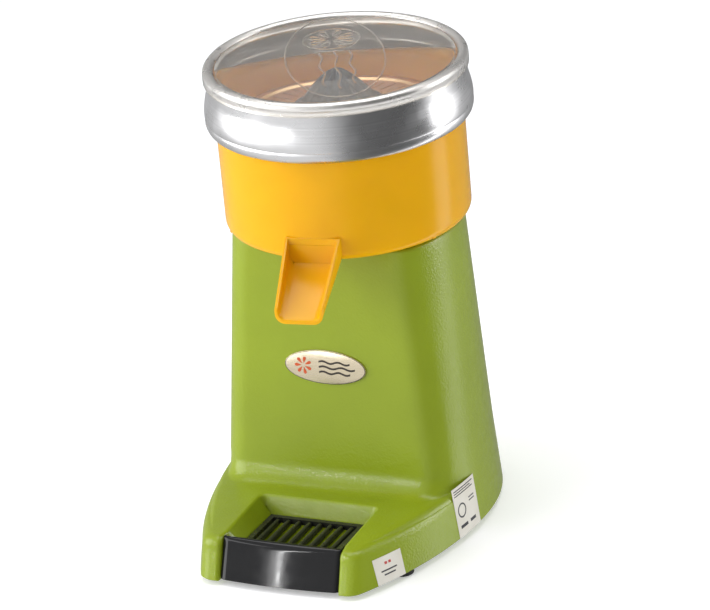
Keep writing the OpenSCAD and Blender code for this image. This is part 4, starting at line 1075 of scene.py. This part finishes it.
def build_lid(finish):
    clear = finish["lid"]
    gap, top = 0.2, BEAD_H + 0.1 + LID_T
    disc_r, disc_top = BEAD_C - BEAD_W / 2 - 0.2, top - 1.5
    over = arc((BEAD_C, BEAD_Z), BEAD_W / 2 + gap - 0.1 + LID_T, 165, 0, 16)
    under = arc((BEAD_C, BEAD_Z), BEAD_W / 2 + gap, 0, 170, 16)
    skirt = BEAD_H - LID_SKIRT
    rim_r = BEAD_C + BEAD_W / 2 + gap - 0.1 + LID_T
    profile = ([(0, disc_top), (disc_r - 3.2, disc_top), (disc_r - 2.2, disc_top + 0.05)] + over
               + [(rim_r, skirt + 0.5), (rim_r - 0.3, skirt), (rim_r - LID_T + 0.2, skirt),
                  (rim_r - LID_T, skirt + 0.4)] + under
               + [(disc_r, disc_top - 2), (0, disc_top - 2)])
    lid = turned_form("clear_lid", profile, clear, 200, z=Z_RIM, sharp=50)
    oval = [(81.5 * math.cos(2 * math.pi * i / 96), 36 * math.sin(2 * math.pi * i / 96))
            for i in range(96)]
    marks = [relief("oval", oval, 1.3, disc_top, 0.55, clear)]
    for line in slice_lines((38, 0), 21):
        marks.append(relief("slice", line, 1.1, disc_top, 0.7, clear))
    for start, end, v in ((10, -58, -11), (10, -66, 0), (10, -58, 11)):
        wave = [(lerp(start, end, i / 40), v + 1.3 * math.sin(2 * math.pi * i / 20))
                for i in range(41)]
        marks.append(relief("wave", wave, 1.6, disc_top, 0.7, clear, closed=False))
    lid = merged("clear_lid", [lid] + marks, clear, 50)
    return settle(lid, "lid", "clear_plastic", "lid", "lid_rim")


def build_reamer(finish):
    """Ribbed cone on a skirt, with the socket for the shaft and its pin."""
    skirt_z, hub_z = Z_TOP + 57, Z_TOP + 38
    slate = finish["reamer"]
    rows, around = 30, 12 * REAMER_RIBS
    rings = [[(REAMER_R + 4, 0.0)] * around, [(REAMER_R + 4, 0.9)] * around,
             [(REAMER_R + 3.4, 1.4)] * around, [(REAMER_R + 0.6, 2.4)] * around]
    for i in range(rows + 1):
        t = i / rows
        valley = (REAMER_R - 3.6) * (1 - t) ** 0.72
        crest = REAMER_R * (1 - t) ** 0.62
        z = 3 + REAMER_H * t
        ring = []
        for k in range(around):
            rib = (0.5 + 0.5 * math.cos(2 * math.pi * k / 12)) ** 1.6
            r = max(0.35, lerp(valley, crest, rib * min(1, 0.25 + t * 6)))
            ring.append((r, z - (1 - rib) * 0.9 * t))
        rings.append(ring)
    skins = []
    for ring in rings:
        skins.append([(r * math.cos(2 * math.pi * k / around),
                       AXIS_Y + r * math.sin(2 * math.pi * k / around), skirt_z + z)
                      for k, (r, z) in enumerate(ring)])
    cone = lofted("ribbed_reamer", skins, slate, sharp=60)
    hub = turned_form("hub", [(0, 0), (10.4, 0), (11, 0.6), (11, skirt_z - hub_z + 0.5),
                              (0, skirt_z - hub_z + 0.5)], slate, 64, z=hub_z)
    cut(cone, [hub], "UNION", 60)
    socket = turned_form("socket", [(0, -1), (6.05, -1), (6.05, 34), (0, 34)], slate, 48, z=hub_z)
    slot = block("slot", (-9.3, AXIS_Y - 2.3, hub_z - 1), (9.3, AXIS_Y + 2.3, hub_z + 8.3), slate)
    cut(cone, [socket, slot], sharp=60)
    return settle(cone, "reamer", "reamer_plastic", "reamer")


# ---- drip tray and grid ------------------------------------------------------------------------

def bulge(x):
    """How far the front panel stands back from its middle."""
    half = TRAY_FRONT_W / 2
    r = (half * half + TRAY_BULGE * TRAY_BULGE) / (2 * TRAY_BULGE)
    return r - math.sqrt(r * r - x * x)


def build_tray(finish):
    gloss = finish["tray"]
    low, high = Z_BASE + 0.8, Z_BASE + 0.8 + TRAY_FRONT_H
    half, stations = TRAY_FRONT_W / 2, 40
    rings = []
    for i in range(stations + 1):
        x = lerp(-half, half, i / stations)
        round_end = 1.6 * max(0.0, abs(x) / half - 0.94) / 0.06
        back = bulge(x) + round_end ** 2 * 0.6
        bottom = -BASE_FRONT + back
        top = bottom + TRAY_FRONT_H * FRONT_LEAN
        lean = math.degrees(math.atan(FRONT_LEAN))
        r = 3.2 + 3.6 * (1 - (x / half) ** 2)
        tilt = math.radians(lean)
        centre = (top - FRONT_LEAN * r + r / math.cos(tilt), high - r)
        corner = arc(centre, r, 180 - lean, 90, 9)
        meet_y, meet_z = corner[0]
        ring = [(bottom, low + 0.5), (bottom + 0.5, low)]
        ring += [(PANEL_BACK - 0.2, low), (PANEL_BACK, low + 0.3), (PANEL_BACK, high - 1.6)]
        ring += [(PANEL_BACK - 0.5, high - 0.5), (PANEL_BACK - 1.4, high)]
        ring += list(reversed(corner))
        ring += [(lerp(meet_y, bottom, k / 8), lerp(meet_z, low + 0.5, k / 8)) for k in range(1, 8)]
        rings.append([(x, AXIS_Y + y, z) for y, z in ring])
    panel = lofted("drip_tray", rings, gloss, sharp=30)
    w, t = TRAY_W / 2, TRAY_T
    back = AXIS_Y + TRAY_BACK
    box = block("box", (-w, AXIS_Y + PANEL_BACK - 0.5, TRAY_Z),
                (w, back, TRAY_Z + TRAY_BOX_H - 4), gloss)
    bevelled(box, 1.6, 3)
    well = block("well", (-w + t, AXIS_Y + PANEL_BACK + t - 1, TRAY_Z + t),
                 (w - t, back - t, TRAY_Z + TRAY_BOX_H), gloss)
    bevelled(well, 1.4, 3)
    cut(panel, [box], "UNION", 30)
    slot = block("slot", (-w, AXIS_Y + PANEL_BACK - 8, Z_BASE - 1),
                 (w, AXIS_Y + PANEL_BACK - 2, Z_BASE - 1 + TRAY_FRONT_H * 0.4), gloss)
    cut(panel, [well, slot], sharp=30)
    return settle(panel, "tray", "black_gloss", "drip_tray")


def build_grid(finish):
    """Lift-out grid: a frame with a front ramp, and ribs whose backs end in rounded noses."""
    satin = finish["grid"]
    w, gap, frame_w, front_w, t = TRAY_W / 2, 0.4, 4.0, 8.0, 4.0
    low, top = GRID_TOP - t, GRID_TOP
    front, back = AXIS_Y + PANEL_BACK + gap, AXIS_Y + TRAY_BACK
    frame = block("drip_grid", (-w, front, low), (w, back, top), satin)
    ramp = smooth_line([(0.2, 6.3), (1.6, 5.6), (4.2, 3.2), (6.4, 1.0), (8.2, 0.0)], 4)
    side = [(front, top - 1)] + [(front + y, top + z) for y, z in ramp] + [(front + 8.2, top - 1)]
    rise = lofted("ramp", [[(x, y, z) for y, z in side] for x in (-w, w)], satin)
    cut(frame, [rise], "UNION", 30)
    hole = block("hole", (-w + frame_w, front + front_w, low - 1),
                 (w - frame_w, back - frame_w, top + 1), satin)
    bevelled(hole, 1.2, 3, 40)
    cut(frame, [hole], sharp=30)
    inner = 2 * (w - frame_w)
    pitch = inner / 8
    half, length = 1.5, back - frame_w - front - front_w + 1.0
    section = ([(-half, low), (-half, top - 0.9)] + [(half * math.sin(math.radians(a)) * 0.97,
               top - 0.9 + 0.9 * math.cos(math.radians(a))) for a in range(-75, 76, 25)]
               + [(half, top - 0.9), (half, low)])
    rings = []
    for y, shrink in ((0, 1), (length * 0.5, 1), (length - 2.6, 1), (length - 1.6, 0.93),
                      (length - 0.7, 0.75), (length - 0.1, 0.4)):
        rings.append([(x * shrink, y, lerp(low, z, shrink)) for x, z in section])
    rib = lofted("rib", rings, satin)
    first = Matrix.Translation((MM * (-inner / 2 + pitch / 2), MM * (front + front_w - 0.8), 0))
    ribs = repeated("ribs", "row", rib, satin, 8, step=(pitch, 0, 0), place=first)
    grid = merged("ribbed_drip_grid", [frame, ribs], satin, 30)
    return settle(grid, "grid", "black_plastic", "drip_grid")


# ---- badge and labels --------------------------------------------------------------------------

FACE_TILT = math.degrees(math.atan((FACE_LOW_Y - FACE_TOP_Y) / (Z_TOP - Z_COVE)))
BADGE_Z = Z_BASE + 0.573 * HOUSING_H


def on_face(points):
    """Points drawn on the badge (across, up, out) placed on the sloping front."""
    t = math.radians(FACE_TILT)
    y0 = AXIS_Y + column_row(BADGE_Z)[4]
    return [(u, y0 - out * math.cos(t) + v * math.sin(t),
             BADGE_Z + v * math.cos(t) + out * math.sin(t)) for u, v, out in points]


def oval_plate(name, w, h, low, high, edge, material, steps=96):
    rings = []
    for shrink, out in ((0.0, low), (0.0, high - edge), (edge * 0.3, high - edge * 0.3),
                        (edge, high)):
        rings.append(on_face([((w / 2 - shrink) * math.cos(2 * math.pi * i / steps),
                               (h / 2 - shrink) * math.sin(2 * math.pi * i / steps), out)
                              for i in range(steps)]))
    return lofted(name, rings, material, 30)


def flat_mark(name, outline_points, low, high, material):
    rings = [on_face([(u, v, out) for u, v in outline_points]) for out in (low, high)]
    return lofted(name, rings, material, 30)


def oval_band(name, w, h, band, low, high, material, steps=96):
    """A thin oval line that stands on the badge."""
    points, faces = [], []
    for i in range(steps):
        a = 2 * math.pi * i / steps
        for k, out in ((0, low), (0, high), (band, high), (band, low)):
            points.append(((w / 2 - k) * math.cos(a), (h / 2 - k) * math.sin(a), out))
    for i in range(steps):
        j = (i + 1) % steps
        for k in range(4):
            q = (k + 1) % 4
            faces.append((i * 4 + k, j * 4 + k, j * 4 + q, i * 4 + q))
    return mesh_piece(name, on_face(points), faces, material, 30)


def build_badge(finish):
    metal, dark, accent = finish["badge"], finish["badge_dark"], finish["badge_red"]
    plate = oval_plate("oval_badge", 65, 26, 0.02, 1.5, 0.5, metal)
    settle(plate, "base", "badge_metal", "badge")
    rings = [oval_band("ring", 64.4, 25.4, 0.45, 1.2, 1.54, dark)]
    marks = []
    for line in slice_lines((-17.5, 0.3), 8.2, 7)[1:]:
        marks.append(flat_mark("segment", line, 1.4, 1.62, accent))
    for u0, u1, v in ((-5, 20, 4.0), (-5, 24, 0.0), (-5, 20, -4.0)):
        bar = [(lerp(u0, u1, k / 30), v + 0.8 * math.sin(2 * math.pi * k / 15) + 0.75)
               for k in range(31)]
        bar += [(u, w - 1.5) for u, w in reversed(bar)]
        rings.append(flat_mark("bar", bar, 1.4, 1.6, dark))
    settle(merged("badge_slice_mark", marks, accent, 30), "base", "badge_metal")
    settle(merged("badge_dark_lines", rings, dark, 30), "base", "badge_metal")


def flank_point(y, z, out):
    """A point on the right flank at a distance from the shaft, lifted off it."""
    x = flank_x(foot_row(z), y)
    ahead = flank_x(foot_row(z), y + 1) - x
    above = flank_x(foot_row(z + 1), y) - x
    n = Vector((1.0, -ahead, -above)).normalized() * out
    return (x + n.x, AXIS_Y + y + n.y, z + n.z)


def flank_sheet(name, y0, y1, z0, z1, low, high, material, across=12, up=6):
    """A thin sheet laid on the curved flank."""
    points, faces = [], []
    for out in (low, high):
        for j in range(up + 1):
            for i in range(across + 1):
                y, z = lerp(y0, y1, i / across), lerp(z0, z1, j / up)
                points.append(flank_point(y, z, out))
    n, layer = across + 1, (across + 1) * (up + 1)
    for j in range(up):
        for i in range(across):
            a = j * n + i
            faces.append((a, a + 1, a + n + 1, a + n))
            faces.append((layer + a, layer + a + n, layer + a + n + 1, layer + a + 1))
    rim = ([i for i in range(n)] + [j * n + across for j in range(1, up + 1)]
           + [up * n + i for i in range(across - 1, -1, -1)]
           + [j * n for j in range(up - 1, 0, -1)])
    for k, a in enumerate(rim):
        b = rim[(k + 1) % len(rim)]
        faces.append((a, b, layer + b, layer + a))
    return mesh_piece(name, points, faces, material, 30)


def build_labels(finish):
    paper, ink, red = finish["paper"], finish["ink"], finish["ink_red"]
    for node, name, w, h, y in (("rating_label", "rating_label_sheet", 32, 38, -47),
                                ("front_label", "front_label_sheet", 25, 20, -139)):
        sheet = flank_sheet(name, y - w / 2, y + w / 2, Z_BASE + 1, Z_BASE + 1 + h,
                            *PAPER_OUT, paper)
        settle(sheet, "base", "label_paper", node)
    bars = []
    y0, z0 = -63, Z_BASE + 1
    for row, (start, end) in enumerate(((2, 29), (2, 25), (2, 28))):
        z = z0 + 35 - row * 1.9
        bars.append(flank_sheet("bar", y0 + start, y0 + end, z, z + 0.8, *PRINT_OUT, ink, 10, 1))
    for k in range(2):
        bars.append(flank_sheet("bar", y0 + 20, y0 + 28, z0 + 24 - 2.4 * k, z0 + 24.9 - 2.4 * k,
                                *PRINT_OUT, ink, 4, 1))
    for start, end in ((4, 14), (18, 26)):
        bars.append(flank_sheet("bar", y0 + start, y0 + end, z0 + 6, z0 + 8.4,
                                *PRINT_OUT, ink, 4, 1))
    ring = []
    for i in range(40):
        a = 2 * math.pi * i / 40
        for r, out in ((5.6, 0.25), (5.6, 0.30), (4.4, 0.30), (4.4, 0.25)):
            ring.append(flank_point(y0 + 9 + r * math.cos(a), z0 + 19 + r * math.sin(a), out))
    faces = [(i * 4 + k, (i + 1) % 40 * 4 + k, (i + 1) % 40 * 4 + (k + 1) % 4, i * 4 + (k + 1) % 4)
             for i in range(40) for k in range(4)]
    bars.append(mesh_piece("seal", ring, faces, ink, 30))
    y1 = -151.5
    for row, (start, end) in enumerate(((5, 19), (7, 17))):
        bars.append(flank_sheet("bar", y1 + start, y1 + end, z0 + 8.6 - row * 3, z0 + 9.7 - row * 3,
                                *PRINT_OUT, ink, 6, 1))
    dots = [flank_sheet("dot", y1 + 9.2 + k * 3.4, y1 + 11.4 + k * 3.4, z0 + 13.6, z0 + 15.6,
                        *PRINT_OUT, red, 2, 1) for k in range(2)]
    settle(merged("label_dark_print", bars, ink, 30), "base", "label_paper")
    settle(merged("label_red_dots", dots, red, 30), "base", "label_paper")


# ---- feet, switch, gland and the pieces inside --------------------------------------------------

def foot_places():
    """Places of the front and rear feet on the right, just inside the housing's lower edge."""
    row, inset = foot_row(Z_BASE), FOOT_R + 1.5
    half, mid, rear, front = row[1:5]
    r = flank(row)[0]
    a = math.asin((front + 52 - mid) / r)
    b = math.radians(42)
    out = Vector((math.cos(b) / half, math.sin(b) / (rear - mid))).normalized() * inset
    return [(half - r + (r - inset) * math.cos(a), AXIS_Y + mid + (r - inset) * math.sin(a)),
            (half * math.cos(b) - out.x, AXIS_Y + mid + (rear - mid) * math.sin(b) - out.y)]


def four(name, template, material, places):
    """A template set at the front and rear feet, left and right."""
    pairs = []
    for x, y in places:
        copy = template.copy()
        bpy.context.scene.collection.objects.link(copy)
        pairs.append(repeated(name, "row", copy, material, 2, step=(2 * x, 0, 0),
                              place=Matrix.Translation((-x * MM, y * MM, 0))))
    bpy.data.objects.remove(template)
    return merged(name, pairs, material, 40)


def build_feet(finish):
    """Moulded rubber feet with a screw each, set up in the recess."""
    places = foot_places()
    spigot, recess, top = FOOT_R - WALL + 1, 4.4, FOOT_H + 1.0
    profile = [(recess, 2.9), (recess, 0.3), (recess + 0.3, 0)]
    profile += arc((FOOT_R - 0.8, 0.8), 0.8, -90, 0, 5)
    profile += [(FOOT_R, FOOT_H - 0.3), (FOOT_R - 0.3, FOOT_H), (spigot, FOOT_H), (spigot, top),
                (1.9, top), (1.9, 2.9)]
    foot = turned_form("foot", profile, finish["rubber"], 56, (0, 0))
    settle(four("rubber_feet", foot, finish["rubber"], places), "base", "black_rubber", "feet")
    head = turned_form("screw", [(0, 1.0), (3.2, 1.0), (3.8, 1.3), (4.0, 1.8), (4.0, 2.9),
                                 (1.7, 2.9), (1.7, 13.8), (1.2, 14.6), (0, 14.6)],
                       finish["zinc"], 40, (0, 0))
    cross = [block("c", (-2.3, -0.45, 0), (2.3, 0.45, 2.2), finish["zinc"]),
             block("c", (-0.45, -2.3, 0), (0.45, 2.3, 2.2), finish["zinc"])]
    cut(head, cross)
    settle(four("foot_screws", head, finish["zinc"], places), "base", "zinc_steel", "foot_screws")


def build_mount_screws(finish):
    """Slotted screws in the deck under the bowl, from one turned template."""
    top, low = Z_TOP - 0.3, Z_TOP - 11.5
    profile = [(0, top), (3.9, top), (4.4, top - 0.5), (4.5, top - 2.7), (2.2, top - 2.7),
               (2.2, low + 0.6), (1.7, low), (0, low)]
    screw = turned_form("screw", profile, finish["zinc"], 40, (0, 0))
    slot = block("slot", (-3.2, -0.5, top - 1.2), (3.2, 0.5, top + 1), finish["zinc"])
    cut(screw, [slot])
    turn = Matrix.Translation((0, AXIS_Y * MM, 0)) @ Matrix.Rotation(math.radians(45), 4, "Z")
    ring = repeated("mount_screws", "circle", screw, finish["zinc"], 4, radius=33, place=turn)
    return settle(ring, "base", "zinc_steel", "motor_screws")


def softened(node, name, material, body, slot, width, angle=30, sharp=30):
    """A frame node's form with its edges eased, to stand in the node's place."""
    source = frame["nodes"][node]
    bm = bmesh.new()
    bm.from_mesh(source.data)
    bmesh.ops.remove_doubles(bm, verts=bm.verts, dist=2e-6)
    bmesh.ops.dissolve_limit(bm, angle_limit=math.radians(1), verts=bm.verts, edges=bm.edges)
    mesh = bpy.data.meshes.new(name)
    bm.to_mesh(mesh)
    bm.free()
    piece = mesh_object(name, mesh, material, sharp)
    bevelled(piece, width, 3, angle, sharp)
    return settle(piece, body, slot, node)


FRAME_FINISHES = {
    "zinc": ("base_plate", "base_screws", "motor_bolts", "capacitor_strap", "strap_screws"),
    "steel": ("strainer",),
    "shaft": ("drive_pin", "motor_shaft", "upper_bearing", "lower_bearing"),
    "seal": ("shaft_seal",),
    "rubber": ("shaft_slinger",),
    "cast": ("shaft_tower", "upper_bracket", "lower_bracket"),
    "core": ("rotor", "stator_core"),
    "black": ("cooling_fan", "gland_nut"),
    "white": ("capacitor", "terminal_block"),
    "copper": ("stator_windings",),
    "brass": ("earth_screw",),
}


def finish_frame(finish):
    """Finishes for the pieces that keep the frame's own form."""
    for key, nodes in FRAME_FINISHES.items():
        for node in nodes:
            for slot in frame["nodes"][node].material_slots:
                slot.material = finish[key]


def main():
    stand_camera()
    light_studio()
    lay_floor()
    finish = make_finishes()
    build_housing(finish)
    build_bowl(finish)
    build_ring(finish)
    build_lid(finish)
    build_reamer(finish)
    build_tray(finish)
    build_grid(finish)
    build_badge(finish)
    build_labels(finish)
    build_feet(finish)
    build_mount_screws(finish)
    softened("switch_bezel", "switch_frame", finish["black"], "base", "black_plastic", 0.6)
    softened("switch_rocker", "red_rocker", finish["red"], "rocker", "switch_red", 0.5)
    softened("cable_gland", "cord_gland", finish["black"], "base", "black_plastic", 0.6, 40, 40)
    finish_frame(finish)


main()
